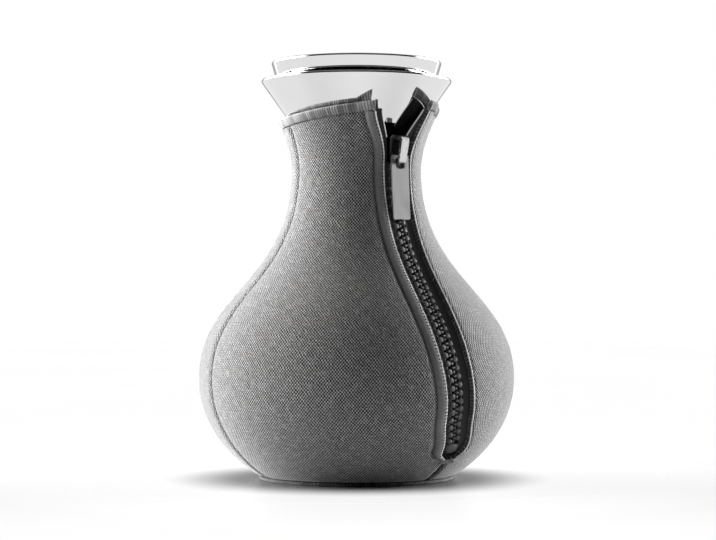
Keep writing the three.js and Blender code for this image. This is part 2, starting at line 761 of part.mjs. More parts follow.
function neckSeal() {
  const inner = sleeveRadius + RUNNING_GAP;
  const outer = neckBore - RUNNING_GAP;
  const low = NECK_HEIGHT - SEAL_HEIGHT / 2;
  const high = NECK_HEIGHT + SEAL_HEIGHT / 2;
  const waist = lerp(inner, outer, 0.6);
  return ring([
    [inner, low], [outer, lerp(low, high, 0.25)], [waist, NECK_HEIGHT],
    [outer, lerp(low, high, 0.75)], [inner, high],
  ]);
}

function pouringCollar() {
  const sideStep = COLLAR_WALL / Math.cos(collarTurn);
  const sleeveInner = sleeveRadius - COLLAR_WALL;
  return ring([
    [sleeveRadius, collarSleeveEnd],
    [sleeveRadius, collarHeight(sleeveRadius)],
    ...rolledLip(lipRadius, lipHeight, COLLAR_LIP, collarTurn),
    [collarRadius(lipHeight - COLLAR_LIP * 2) - sideStep, lipHeight - COLLAR_LIP * 2],
    [sleeveInner, collarHeight(sleeveInner + sideStep)],
    [sleeveInner, collarSleeveEnd],
  ]);
}

// The strainer rests in the collar: a flared rim, a cone that follows the collar, a throat and a basket.
const strainerTurn = degrees(STRAINER_SLOPE);
const strainerTangent = Math.tan(strainerTurn);
const strainerLipRadius = strainerRimRadius - STRAINER_LIP;
const strainerLipHeight = strainerRimHeight - STRAINER_LIP;
const nestStep = (COLLAR_WALL + GAP) / Math.cos(collarTurn);
const throatRadius = sleeveRadius - COLLAR_WALL - GAP;
const throatBore = throatRadius - STRAINER_WALL;

function strainerRadius(height) {
  const tangentRadius = strainerLipRadius + STRAINER_LIP * Math.cos(strainerTurn);
  const tangentHeight = strainerLipHeight - STRAINER_LIP * Math.sin(strainerTurn);
  return tangentRadius + (height - tangentHeight) * strainerTangent;
}

function strainerBore(height) {
  return strainerRadius(height) - STRAINER_WALL / Math.cos(strainerTurn);
}

// Where the steep rim of the strainer meets the cone that lies in the collar
const nestAtRim = collarRadius(strainerRimHeight) - nestStep;
const kinkDrop = (nestAtRim - strainerRadius(strainerRimHeight)) / (collarTangent - strainerTangent);
const kinkHeight = strainerRimHeight - kinkDrop;

function strainerFunnel() {
  const coneStep = STRAINER_WALL / Math.cos(collarTurn);
  const throatHeight = collarHeight(throatRadius + nestStep);
  const boreHeight = collarHeight(throatBore + nestStep + coneStep);
  const innerKink = kinkHeight + STRAINER_WALL * Math.tan((collarTurn - strainerTurn) / 2);
  return ring([
    [throatRadius, strainerThroatEnd],
    [throatRadius, throatHeight],
    [strainerRadius(kinkHeight), kinkHeight],
    ...rolledLip(strainerLipRadius, strainerLipHeight, STRAINER_LIP, strainerTurn),
    [strainerBore(strainerLipHeight - STRAINER_LIP * 2), strainerLipHeight - STRAINER_LIP * 2],
    [strainerBore(innerKink), innerKink],
    [throatBore, boreHeight],
    [throatBore, strainerThroatEnd],
  ]);
}

const basketRadius = throatBore - GAP;
const basketBore = basketRadius - BASKET_WALL;
const basketTop = collarHeight(throatBore + nestStep);

function strainerBasket() {
  const tube = ring([
    [basketRadius, BASKET_FOOT_HEIGHT], [basketRadius, basketTop],
    [basketBore, basketTop], [basketBore, BASKET_FOOT_HEIGHT],
  ]);
  const rowStep = (strainerThroatEnd - BASKET_FOOT_HEIGHT) / (BASKET_SLOT_ROWS + 0.5);
  const slots = [];
  for (let row = 0; row < BASKET_SLOT_ROWS; row += 1) {
    for (let column = 0; column < BASKET_SLOT_COLUMNS; column += 1) {
      const slot = new THREE.BoxGeometry(basketRadius, BASKET_SLOT_WIDTH, BASKET_SLOT_LENGTH);
      slot.translate(basketRadius, 0, BASKET_FOOT_HEIGHT + rowStep * (row + 0.75));
      slot.rotateZ(2 * Math.PI * (column + row / 2) / BASKET_SLOT_COLUMNS);
      slots.push(slot);
    }
  }
  return cut(tube, slots);
}

function strainerBase() {
  const radius = basketBore - GAP;
  const bore = radius - BASKET_WALL;
  const low = BASKET_FOOT_HEIGHT;
  const rim = low + BASKET_SLOT_WIDTH * 1.5;
  return turned([
    [0, low], [bore, low], [radius, low + BASKET_WALL], [radius, rim],
    [bore, rim], [bore, low + BASKET_WALL * 2], [0, low + BASKET_WALL * 2],
  ]);
}

// The lid is sunk in the strainer's rim and rests there on its seal.
const lidRadius = strainerBore(lidHeight) - 2 * GAP;
const skirtRadius = lidRadius - LID_SEAL_WIDTH - GAP;
const lidTop = lidHeight + LID_PLATE_THICKNESS;

function lidPlate() {
  const bore = skirtRadius - LID_PLATE_THICKNESS;
  const hole = SCREW_RADIUS + RUNNING_GAP;
  return ring([
    [hole, lidHeight], [bore, lidHeight], [bore, lidHeight - LID_SKIRT_DEPTH],
    [skirtRadius, lidHeight - LID_SKIRT_DEPTH], [skirtRadius, lidHeight], [lidRadius, lidHeight],
    [lidRadius, lidTop], [hole, lidTop],
  ]);
}

function lidSeal() {
  const inner = skirtRadius + GAP;
  const high = lidHeight - GAP;
  const low = high - LID_SEAL_HEIGHT;
  return ring([
    [inner, low], [strainerBore(low) - GAP, low], [strainerBore(high) - GAP, high], [inner, high],
  ]);
}

function lidKnob() {
  const low = lidTop + GAP;
  const high = low + KNOB_HEIGHT;
  const hole = SCREW_RADIUS + RUNNING_GAP;
  const holeEnd = low + SCREW_LENGTH - LID_PLATE_THICKNESS;
  return turned([
    [0, holeEnd], [hole, holeEnd], [hole, low], [KNOB_WAIST_RADIUS, low],
    [KNOB_WAIST_RADIUS, lerp(low, high, 0.4)], [KNOB_RADIUS, lerp(low, high, 0.65)],
    [KNOB_RADIUS, lerp(low, high, 0.88)], [KNOB_RADIUS * 0.88, high], [0, high],
  ], SMALL_TURN_SEGMENTS);
}

function knobScrew() {
  const seat = lidHeight - GAP;
  const end = seat + SCREW_LENGTH;
  return turned([
    [0, seat - SCREW_HEAD_HEIGHT], [SCREW_HEAD_RADIUS * 0.7, seat - SCREW_HEAD_HEIGHT],
    [SCREW_HEAD_RADIUS, seat], [SCREW_RADIUS, seat], [SCREW_RADIUS, end], [0, end],
  ], SMALL_TURN_SEGMENTS);
}

// Finishes
const cloth = { color: 0x6f7072, roughness: 0.95, metalness: 0 };
const bindingCloth = { color: 0x77787a, roughness: 0.85, metalness: 0 };
const blackCloth = { color: 0x161616, roughness: 0.9, metalness: 0 };
const toothPlastic = { color: 0x3a3a3b, roughness: 0.55, metalness: 0 };
const polishedSteel = { color: 0xd8d9da, roughness: 0.06, metalness: 1 };
const brushedSteel = { color: 0xb4b5b6, roughness: 0.3, metalness: 1 };
const darkMetal = { color: 0x2b2b2c, roughness: 0.2, metalness: 1 };
const clearGlass = { color: 0xdfe9e8, roughness: 0.05, metalness: 0, transparent: true, opacity: 0.35 };
const silicone = { color: 0x2a2a2a, roughness: 0.7, metalness: 0 };

const teaMaker = new THREE.Group();

function addPiece(name, geometry, finish, parent = teaMaker) {
  const mesh = new THREE.Mesh(geometry, new THREE.MeshStandardMaterial(finish));
  mesh.name = name;
  parent.add(mesh);
}

addPiece('glass_carafe', glassCarafe(), clearGlass);
addPiece('collar_seal', neckSeal(), silicone);
addPiece('pouring_collar', pouringCollar(), polishedSteel);
addPiece('strainer_funnel', strainerFunnel(), polishedSteel);
addPiece('strainer_basket', strainerBasket(), brushedSteel);
addPiece('strainer_base', strainerBase(), brushedSteel);
addPiece('lid_plate', lidPlate(), polishedSteel);
addPiece('lid_seal', lidSeal(), silicone);
addPiece('lid_knob', lidKnob(), polishedSteel);
addPiece('lid_knob_screw', knobScrew(), brushedSteel);

addPiece('cover_front_panel', zipPanel(-1, SEAM_LEFT), cloth);
addPiece('cover_left_panel', plainPanel(SEAM_BACK_LEFT, SEAM_LEFT), cloth);
addPiece('cover_back_panel', plainPanel(SEAM_BACK_RIGHT, SEAM_BACK_LEFT + FULL_TURN), cloth);
addPiece('cover_right_panel', zipPanel(1, SEAM_BACK_RIGHT), cloth);
addPiece('cover_top_hem', topHem(), cloth);
addPiece('cover_base', baseDisc(), cloth);
addPiece('cover_base_binding', baseBinding(), blackCloth);

addPiece('zip_binding_left', zipBinding(-1), bindingCloth);
addPiece('zip_binding_right', zipBinding(1), blackCloth);
addPiece('zip_tape_left', zipTape(-1), blackCloth);
addPiece('zip_tape_right', zipTape(1), blackCloth);
addPiece('zip_teeth_left', toothRow(-1), toothPlastic);
addPiece('zip_teeth_right', toothRow(1), toothPlastic);
addPiece('zip_bottom_stop', bottomStop(), toothPlastic);
addPiece('zip_end_bar', endBar(), blackCloth);

// The slider lies on the zip's line, and its tab hangs down with its foot leaning on the chain.
const sliderNormal = outlineAt(sliderArc).normal;
const sliderTurn = degrees(ZIP_ANGLE_NECK);
const across = new THREE.Vector3(Math.cos(sliderTurn), Math.sin(sliderTurn), 0);
const outwards = new THREE.Vector3(
  sliderNormal.x * Math.sin(sliderTurn),
  -sliderNormal.x * Math.cos(sliderTurn),
  sliderNormal.y,
);
const slider = new THREE.Group();
slider.applyMatrix4(new THREE.Matrix4().makeBasis(across, outwards.clone().cross(across), outwards));
slider.position.copy(zipPoint(sliderArc, 0, ZIP_DEPTH));
teaMaker.add(slider);
addPiece('zip_slider_body', sliderBody(), darkMetal, slider);
addPiece('zip_slider_bridge', sliderBridge(), brushedSteel, slider);

const tab = new THREE.Group();
tab.position.copy(tabPivot);
tab.rotation.x = Math.asin(sliderNormal.y) - degrees(TAB_LEAN);
slider.add(tab);
addPiece('zip_pull_tab', pullTab(), brushedSteel, tab);

export default teaMaker;
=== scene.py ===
# Tea maker in a zipped woven cover: its looks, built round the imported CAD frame.
import math

import bmesh
import bpy
import numpy as np
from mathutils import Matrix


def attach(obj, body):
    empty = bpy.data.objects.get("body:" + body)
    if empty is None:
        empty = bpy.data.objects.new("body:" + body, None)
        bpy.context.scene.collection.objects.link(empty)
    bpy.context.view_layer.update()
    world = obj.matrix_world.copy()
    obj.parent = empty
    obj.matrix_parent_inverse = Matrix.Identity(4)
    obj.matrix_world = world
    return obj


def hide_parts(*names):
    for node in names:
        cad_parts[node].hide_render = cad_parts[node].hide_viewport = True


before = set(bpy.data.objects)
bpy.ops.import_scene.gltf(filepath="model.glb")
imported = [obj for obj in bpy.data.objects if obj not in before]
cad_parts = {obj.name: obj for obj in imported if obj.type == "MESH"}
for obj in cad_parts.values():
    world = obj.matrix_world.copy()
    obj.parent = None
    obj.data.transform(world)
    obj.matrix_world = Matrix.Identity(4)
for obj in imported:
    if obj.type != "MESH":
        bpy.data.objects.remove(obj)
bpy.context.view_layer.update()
scene = bpy.context.scene
MM = 0.001
FULL_TURN = 360.0

# The cover's outline, in millimetres, as in the part's source
BASE_RADIUS = 45.0
BASE_LIFT = 0.8
BASE_SPREAD = 17.0
BASE_RISE = 10.0
BELLY_RADIUS = 75.0
BELLY_HEIGHT = 48.0
BELLY_FULLNESS_BELOW = 20.0
BELLY_FULLNESS_ABOVE = 41.0
NECK_RADIUS = 30.8
NECK_HEIGHT = 147.0
NECK_FULLNESS_BELOW = 53.0
NECK_FULLNESS_ABOVE = 10.0
MOUTH_RADIUS = 40.8
MOUTH_HEIGHT = 178.0
MOUTH_LEAN = math.radians(29)
MOUTH_FULLNESS = 10.0

# The cover's cloth
CLOTH_THICKNESS = 5.5
MOUTH_CLOTH_THICKNESS = 2.2
THINNING_START = 149.0
THINNING_END = 163.0
TOP_EDGE_MEAN = 173.8
TOP_EDGE_TILT = 3.4
TOP_EDGE_PEAK_ANGLE = 50.0
TOP_EDGE_SPREAD = 138.0
HEM_HEIGHT = 4.4
PANEL_FOOT_HEIGHT = 1.6
FLAP_STAND_OFF = 7.0
FLAP_STAND_OFF_ANGLE = 36.0
FLAP_STAND_OFF_SPREAD = 36.0
FLAP_BEND_START = 150.0
SEAM_LEFT = -64.0
SEAM_BACK_LEFT = -152.0
SEAM_BACK_RIGHT = 130.0
SEAM_HALF_GAP = 0.15

# The zip. Its foot turns further to the right than in the part's source.
ZIP_ANGLE_NECK = 38.0
ZIP_ANGLE_BELLY = 34.8
ZIP_ANGLE_FOOT = 41.0
ZIP_FOOT_TURN = 4.0
ZIP_FOOT_TURN_TOP = 30.0
ZIP_BELLY_TOP = 80.0
ZIP_NECK_START = 130.0
ZIP_OPENING = {-1: 7.3, 1: 8.6}
LEFT_SPLAY = 11.0
RIGHT_TAPE_SPLAY = 5.0
RIGHT_TAPE_SPLAY_START = 158.0
ZIP_DEPTH = 3.0
ZIP_FOOT_HEIGHT = 13.5
ZIP_CLOSE_HEIGHT = 12.1
ZIP_CLOSING = {-1: 5.0, 1: 11.0}
SLIDER_HEIGHT = 155.2
BINDING_WIDTH = {-1: 4.65, 1: 0.9}
FLANGE_THICKNESS = 2.2
TAPE_WIDTH = 9.3
TAPE_THICKNESS = 0.7
TOOTH_PITCH = 3.95
TOOTH_ROOT = 3.8
TOOTH_HALF_WIDTH = 1.42
GAP = 0.3


# Numbers along the cover
def smoothstep(value, low, high):
    share = np.clip((value - low) / (high - low), 0, 1)
    return share * share * (3 - 2 * share)


def lerp(start, end, share):
    return start + (end - start) * share


def bezier(points, steps=400):
    a, b, c, d = (np.array(point, float) for point in points)
    t = np.linspace(0, 1, steps + 1)[:, None]
    s = 1 - t
    return s**3 * a + 3 * s * s * t * b + 3 * s * t * t * c + t**3 * d


def outline_table():
    base = (BASE_RADIUS, BASE_LIFT)
    belly = (BELLY_RADIUS, BELLY_HEIGHT)
    neck = (NECK_RADIUS, NECK_HEIGHT)
    mouth = (MOUTH_RADIUS, MOUTH_HEIGHT)
    lean = (
        MOUTH_RADIUS - MOUTH_FULLNESS * math.sin(MOUTH_LEAN),
        MOUTH_HEIGHT - MOUTH_FULLNESS * math.cos(MOUTH_LEAN),
    )
    lower = bezier([
        base, (BASE_RADIUS + BASE_SPREAD, BASE_LIFT + BASE_RISE),
        (BELLY_RADIUS, BELLY_HEIGHT - BELLY_FULLNESS_BELOW), belly,
    ])
    middle = bezier([
        belly, (BELLY_RADIUS, BELLY_HEIGHT + BELLY_FULLNESS_ABOVE),
        (NECK_RADIUS, NECK_HEIGHT - NECK_FULLNESS_BELOW), neck,
    ])
    upper = bezier([neck, (NECK_RADIUS, NECK_HEIGHT + NECK_FULLNESS_ABOVE), lean, mouth])
    points = np.vstack([lower, middle[1:], upper[1:]])
    steps = np.linalg.norm(np.diff(points, axis=0), axis=1)
    arc = np.concatenate([[0], np.cumsum(steps)])
    tangent = np.gradient(points, arc, axis=0)
    tangent /= np.linalg.norm(tangent, axis=1)[:, None]
    return arc, points[:, 0], points[:, 1], tangent[:, 1], -tangent[:, 0]


ARC, ARC_RADIUS, ARC_HEIGHT, ARC_NORMAL_R, ARC_NORMAL_Z = outline_table()


def outline(arc):
    columns = (ARC_RADIUS, ARC_HEIGHT, ARC_NORMAL_R, ARC_NORMAL_Z)
    return tuple(np.interp(arc, ARC, column) for column in columns)


def radius_at(arc):
    return np.interp(arc, ARC, ARC_RADIUS)


def height_at(arc):
    return np.interp(arc, ARC, ARC_HEIGHT)


def arc_at_height(height):
    return np.interp(height, ARC_HEIGHT, ARC)


def turn_from(start, angle):
    """The angle from one direction to another, by the shorter way round."""
    return np.mod(angle - start + FULL_TURN / 2, FULL_TURN) - FULL_TURN / 2


def flap_stand_off(angle, height):
    across = np.maximum(0, 1 - (turn_from(FLAP_STAND_OFF_ANGLE, angle) / FLAP_STAND_OFF_SPREAD) ** 2)
    return FLAP_STAND_OFF * across * smoothstep(height, FLAP_BEND_START, MOUTH_HEIGHT)


def cover_point(angle, arc, depth):
    angle, arc, depth = np.broadcast_arrays(*(np.asarray(value, float) for value in (angle, arc, depth)))
    radius, height, normal_r, normal_z = outline(arc)
    reach = radius - depth * normal_r + flap_stand_off(angle, height)
    turn = np.radians(angle)
    return np.stack([reach * np.sin(turn), -reach * np.cos(turn), height - depth * normal_z], -1)


def cloth_thickness(height):
    return lerp(CLOTH_THICKNESS, MOUTH_CLOTH_THICKNESS, smoothstep(height, THINNING_START, THINNING_END))


def top_arc(angle):
    share = np.minimum(1, np.abs(turn_from(TOP_EDGE_PEAK_ANGLE, angle)) / TOP_EDGE_SPREAD)
    return arc_at_height(TOP_EDGE_MEAN + TOP_EDGE_TILT * np.cos(math.pi * share))


def panel_top(angle):
    return top_arc(angle) - HEM_HEIGHT - GAP


def zip_angle(height):
    neck = lerp(ZIP_ANGLE_BELLY, ZIP_ANGLE_NECK, smoothstep(height, ZIP_BELLY_TOP, ZIP_NECK_START))
    foot = lerp(ZIP_ANGLE_FOOT, ZIP_ANGLE_BELLY, smoothstep(height, ZIP_FOOT_HEIGHT, ZIP_BELLY_TOP))
    foot = foot + ZIP_FOOT_TURN * (1 - smoothstep(height, ZIP_FOOT_HEIGHT, ZIP_FOOT_TURN_TOP))
    return np.where(height > ZIP_BELLY_TOP, neck, foot)


def angle_beside(arc, lateral):
    return zip_angle(height_at(arc)) + np.degrees(lateral / radius_at(arc))


def zip_point(arc, lateral, depth):
    return cover_point(angle_beside(arc, lateral), arc, depth)


def left_splay(arc):
    return LEFT_SPLAY * smoothstep(height_at(arc), FLAP_BEND_START, MOUTH_HEIGHT)


def right_tape_splay(arc):
    return RIGHT_TAPE_SPLAY * smoothstep(height_at(arc), RIGHT_TAPE_SPLAY_START, MOUTH_HEIGHT)


FOOT_ARC = arc_at_height(PANEL_FOOT_HEIGHT)
ZIP_CLOSE_ARC = arc_at_height(ZIP_CLOSE_HEIGHT)
ZIP_FOOT_ARC = arc_at_height(ZIP_FOOT_HEIGHT)
SLIDER_ARC = arc_at_height(SLIDER_HEIGHT)


def closing(side, arc):
    """1 along the zip, falling to 0 in a quarter ellipse at the zip's foot."""
    rest = 1 - np.clip((arc - ZIP_CLOSE_ARC) / ZIP_CLOSING[side], 0, 1)
    return np.sqrt(np.maximum(0, 1 - rest * rest))


def opening_edge(side, arc):
    spread = left_splay(arc) if side < 0 else 0
    return (ZIP_OPENING[side] + spread) * closing(side, arc)


def panel_edge(side, arc):
    return opening_edge(side, arc) + BINDING_WIDTH[side] * closing(side, arc) + SEAM_HALF_GAP


def tape_edge(side, arc):
    return TOOTH_ROOT + GAP + (left_splay(arc) if side < 0 else right_tape_splay(arc))


# Meshes from points in millimetres
def add_mesh(name, points, faces, uvs=None, face_slots=None, sharp_angle=None):
    mesh = bpy.data.meshes.new(name)
    corners = (np.asarray(points).reshape(-1, 3) * MM).tolist()
    mesh.from_pydata(corners, [], [list(map(int, face)) for face in faces])
    if uvs is not None:
        layer = mesh.uv_layers.new(name="Cloth")
        loops = np.zeros(len(mesh.loops), np.int32)
        mesh.loops.foreach_get("vertex_index", loops)
        layer.data.foreach_set("uv", np.asarray(uvs, np.float32).reshape(-1, 2)[loops].ravel())
    if face_slots is not None:
        mesh.polygons.foreach_set("material_index", np.asarray(face_slots, np.int32))
    work = bmesh.new()
    work.from_mesh(mesh)
    bmesh.ops.recalc_face_normals(work, faces=work.faces)
    work.to_mesh(mesh)
    work.free()
    mesh.shade_smooth()
    if sharp_angle is not None:
        mesh.set_sharp_from_angle(angle=math.radians(sharp_angle))
    piece = bpy.data.objects.new(name, mesh)
    scene.collection.objects.link(piece)
    return piece


def grid_faces(rows, columns, start=0):
    """Quads of a grid with that many points each way."""
    index = start + np.arange(rows * columns).reshape(rows, columns)
    return np.stack([index[:-1, :-1], index[:-1, 1:], index[1:, 1:], index[1:, :-1]], -1).reshape(-1, 4)


def shell(name, outer, inner, uvs, sharp_angle=50):
    """A closed sheet with thickness. Its inner faces take the second material."""
    rows, columns = outer.shape[:2]
    count = rows * columns
    index = np.arange(count).reshape(rows, columns)
    outer_faces = grid_faces(rows, columns)
    inner_faces = grid_faces(rows, columns, count)[:, ::-1]
    rim = np.concatenate([index[0, :-1], index[:-1, -1], index[-1, :0:-1], index[:0:-1, 0]])
    following = np.roll(rim, -1)
    walls = np.stack([rim, rim + count, following + count, following], -1)
    faces = np.vstack([outer_faces, inner_faces, walls])
    slots = np.concatenate([np.zeros(len(outer_faces)), np.ones(len(inner_faces)), np.zeros(len(walls))])
    points = np.concatenate([outer.reshape(-1, 3), inner.reshape(-1, 3)])
    doubled = np.concatenate([uvs.reshape(-1, 2), uvs.reshape(-1, 2)])
    return add_mesh(name, points, faces, doubled, slots, sharp_angle)


def sweep(name, sections, uvs=None, closed_path=False, sharp_angle=None):
    """A closed section carried along a path: sections has one ring of points for each station."""
    stations, around = sections.shape[:2]
    index = np.arange(stations * around).reshape(stations, around)
    onward = np.roll(index, -1, axis=1)
    ahead = np.roll(index, -1, axis=0)
    ahead_onward = np.roll(onward, -1, axis=0)
    last = stations if closed_path else stations - 1
    faces = np.stack([index, onward, ahead_onward, ahead], -1)[:last].reshape(-1, 4).tolist()
    if not closed_path:
        faces.append(index[0].tolist())
        faces.append(index[-1, ::-1].tolist())
    return add_mesh(name, sections, faces, uvs, None, sharp_angle)


SUPPORT_STEP = 0.35
LONG_RUN = 6 * SUPPORT_STEP
ON_AXIS = 1e-9


def with_support(profile):
    """Adds a point just inside both ends of each long straight run, so that its shading stays flat."""
    made = []
    for here, after in zip(profile, np.roll(profile, -1, axis=0)):
        made.append(here)
        run = np.linalg.norm(after - here)
        on_axis = here[0] < ON_AXIS and after[0] < ON_AXIS
        if run > LONG_RUN and not on_axis:
            made += [lerp(here, after, SUPPORT_STEP / run), lerp(after, here, SUPPORT_STEP / run)]
    return np.array(made)


def lathe(name, profile, segments=180, sharp_angle=28):
    """A turned body from [radius, height] pairs, closed on itself or on the axis."""
    profile = with_support(np.array(profile, float))
    turn = np.linspace(0, 2 * math.pi, segments, endpoint=False)[:, None]
    radius, height = profile[None, :, 0], profile[None, :, 1]
    rings = np.stack([radius * np.sin(turn), -radius * np.cos(turn), height + 0 * turn], -1)
    count = len(profile)
    index = np.arange(segments * count).reshape(segments, count)
    ahead = np.roll(index, -1, axis=0)
    on_axis = profile[:, 0] < ON_AXIS
    faces = []
    for k in range(count):
        after = (k + 1) % count
        if on_axis[k] and on_axis[after]:
            continue
        if on_axis[k]:
            faces += np.stack([index[:, k] * 0 + k, index[:, after], ahead[:, after]], -1).tolist()
        elif on_axis[after]:
            faces += np.stack([index[:, k], index[:, after] * 0 + after, ahead[:, k]], -1).tolist()
        else:
            faces += np.stack([index[:, k], index[:, after], ahead[:, after], ahead[:, k]], -1).tolist()
    piece = add_mesh(name, rings, faces, None, None, sharp_angle)
    work = bmesh.new()
    work.from_mesh(piece.data)
    bmesh.ops.delete(work, geom=[v for v in work.verts if not v.link_faces], context="VERTS")
    work.to_mesh(piece.data)
    work.free()
    return piece


THREAD_SIDES = 6
THREAD_END = 0.45


def threads(name, lines, radius, swell=1.0):
    """Short stitches, each a thin tube with rounded ends. lines holds one row of points for each stitch."""
    lines = np.asarray(lines, float)
    stitches, stops = lines.shape[:2]
    along = np.gradient(lines, axis=1)
    along /= np.linalg.norm(along, axis=2)[..., None]
    outward = lines * [1, 1, 0.0001]
    outward /= np.linalg.norm(outward, axis=2)[..., None]
    across = np.cross(along, outward)
    across /= np.linalg.norm(across, axis=2)[..., None]
    up = np.cross(across, along)
    taper = np.ones(stops) * swell
    taper[[0, -1]] = THREAD_END
    turn = np.linspace(0, 2 * math.pi, THREAD_SIDES, endpoint=False)[None, None, :, None]
    ring = across[:, :, None] * np.cos(turn) + up[:, :, None] * np.sin(turn)
    rings = lines[:, :, None] + radius * taper[None, :, None, None] * ring
    index = np.arange(stitches * stops * THREAD_SIDES).reshape(stitches, stops, THREAD_SIDES)
    onward = np.roll(index, -1, axis=2)
    sides = np.stack([index[:, :-1], onward[:, :-1], onward[:, 1:], index[:, 1:]], -1).reshape(-1, 4).tolist()
    caps = index[:, 0].tolist() + index[:, -1, ::-1].tolist()
    return add_mesh(name, rings, sides + caps)


# Materials and light, each a graph of procedural nodes
class Graph:
    def __init__(self, owner):
        self.owner = owner
        owner.use_nodes = True
        self.tree = owner.node_tree
        self.shader = self.tree.nodes.get("Principled BSDF")

    def add(self, kind, links=None, **settings):
        made = self.tree.nodes.new(kind)
        for key, value in settings.items():
            setattr(made, key, value)
        for socket, value in (links or {}).items():
            self.join(value, made.inputs[socket])
        return made

    def join(self, value, socket):
        if isinstance(value, bpy.types.NodeSocket):
            self.tree.links.new(value, socket)
        else:
            socket.default_value = value

    def math(self, operation, first, second=0.0, third=0.0):
        return self.add("ShaderNodeMath", {0: first, 1: second, 2: third}, operation=operation).outputs[0]

    def remap(self, value, low, high, to_low=0.0, to_high=1.0):
        links = {"Value": value, "From Min": low, "From Max": high, "To Min": to_low, "To Max": to_high}
        return self.add("ShaderNodeMapRange", links, interpolation_type="SMOOTHSTEP").outputs["Result"]

    def noise(self, vector, scale, detail=2.0):
        links = {"Vector": vector, "Scale": scale, "Detail": detail}
        return self.add("ShaderNodeTexNoise", links).outputs["Fac"]

    def stretched(self, vector, scale):
        return self.add("ShaderNodeVectorMath", {0: vector, 1: scale}, operation="MULTIPLY").outputs[0]

    def mix(self, share, first, second):
        made = self.add("ShaderNodeMix", data_type="RGBA")
        self.join(share, made.inputs[0])
        self.join(first, made.inputs[6])
        self.join(second, made.inputs[7])
        return made.outputs[2]

    def bump(self, height, distance, strength=1.0):
        links = {"Height": height, "Distance": distance, "Strength": strength}
        self.join(self.add("ShaderNodeBump", links).outputs[0], self.shader.inputs["Normal"])

    def cloth(self):
        """The mesh's own cloth coordinates, in millimetres along the threads."""
        return self.add("ShaderNodeUVMap", uv_map="Cloth").outputs[0]

    def place(self):
        return self.add("ShaderNodeTexCoord").outputs["Object"]

    def finish(self, **inputs):
        for name, value in inputs.items():
            self.join(value, self.shader.inputs[name.replace("_", " ")])
        return self.owner


def grey(value, alpha=1.0):
    return (value, value, value, alpha)


WEAVE_ACROSS = 1.4
WEAVE_ALONG = 1.66


def woven_cloth(name, dark, light):
    """Two-tone plain weave: staggered pale dots on dark threads, with slubs along both threads."""
    graph = Graph(bpy.data.materials.new(name))
    cloth = graph.cloth()
    wobble = graph.noise(graph.stretched(cloth, (0.35, 0.35, 1)), 1.0, 1.0)
    shift = graph.math("MULTIPLY", graph.math("SUBTRACT", wobble, 0.5), 0.9)
    parts = graph.add("ShaderNodeSeparateXYZ", {0: cloth})
    u = graph.math("ADD", parts.outputs[0], shift)
    v = graph.math("ADD", parts.outputs[1], shift)
    across = graph.math("COSINE", graph.math("MULTIPLY", u, 2 * math.pi / WEAVE_ACROSS))
    along = graph.math("COSINE", graph.math("MULTIPLY", v, 2 * math.pi / WEAVE_ALONG))
    lattice = graph.math("MULTIPLY", across, along)
    dots = graph.remap(lattice, -0.25, 0.6)
    weft = graph.noise(graph.stretched(cloth, (0.22, 1.3, 1)), 1.0)
    warp = graph.noise(graph.stretched(cloth, (1.5, 0.2, 1)), 1.0)
    slub = graph.math("ADD", weft, warp)
    share = graph.math("MULTIPLY", dots, graph.remap(slub, 0.7, 1.3, 0.62, 1.0))
    lifted = graph.math("ADD", share, graph.remap(slub, 0.95, 1.45, 0.0, 0.22))
    colour = graph.mix(lifted, grey(dark), grey(light))
    graph.bump(lattice, 0.00012, 0.7)
    return graph.finish(
        Base_Color=colour, Roughness=graph.remap(slub, 0.6, 1.4, 0.82, 0.98),
        Specular_IOR_Level=0.15, Sheen_Weight=0.35, Sheen_Roughness=0.45,
    )


def ribbed_cloth(name, dark, light, pitch, slant=0.0):
    """Cloth crossed by sewn threads, each thread a little different in tone."""
    graph = Graph(bpy.data.materials.new(name))
    parts = graph.add("ShaderNodeSeparateXYZ", {0: graph.cloth()})
    lean = graph.math("MULTIPLY_ADD", parts.outputs[1], slant, parts.outputs[0])
    place = graph.math("DIVIDE", lean, pitch)
    number = graph.math("FLOOR", place)
    tone = graph.add("ShaderNodeTexWhiteNoise", {"W": number}, noise_dimensions="1D").outputs["Value"]
    wave = graph.math("SINE", graph.math("MULTIPLY", graph.math("FRACT", place), math.pi))
    fuzz = graph.noise(graph.stretched(graph.cloth(), (2.0, 2.0, 1)), 1.0)
    share = graph.math("MULTIPLY", graph.math("MULTIPLY", wave, graph.remap(tone, 0, 1, 0.35, 1)), fuzz)
    graph.bump(graph.math("ADD", wave, fuzz), 0.00012, 0.6)
    return graph.finish(
        Base_Color=graph.mix(graph.math("MULTIPLY", share, 1.7), grey(dark), grey(light)),
        Roughness=graph.remap(fuzz, 0.2, 0.8, 0.75, 0.95), Specular_IOR_Level=0.2, Sheen_Weight=0.2,
    )


def plain_fibre(name, dark, light, grain=900.0, roughness=(0.7, 0.95), sheen=0.2, bump=0.00006):
    """Smooth knitted or felted cloth, thread, rubber and matte plastic: a fine grain over two close tones."""
    graph = Graph(bpy.data.materials.new(name))
    place = graph.place()
    grain_noise = graph.noise(place, grain)
    cloud = graph.noise(place, grain / 12)
    share = graph.remap(graph.math("ADD", grain_noise, cloud), 0.6, 1.4)
    graph.bump(grain_noise, bump, 0.6)
    return graph.finish(
        Base_Color=graph.mix(share, grey(dark), grey(light)),
        Roughness=graph.remap(cloud, 0.3, 0.7, *roughness), Sheen_Weight=sheen, Specular_IOR_Level=0.3,
    )


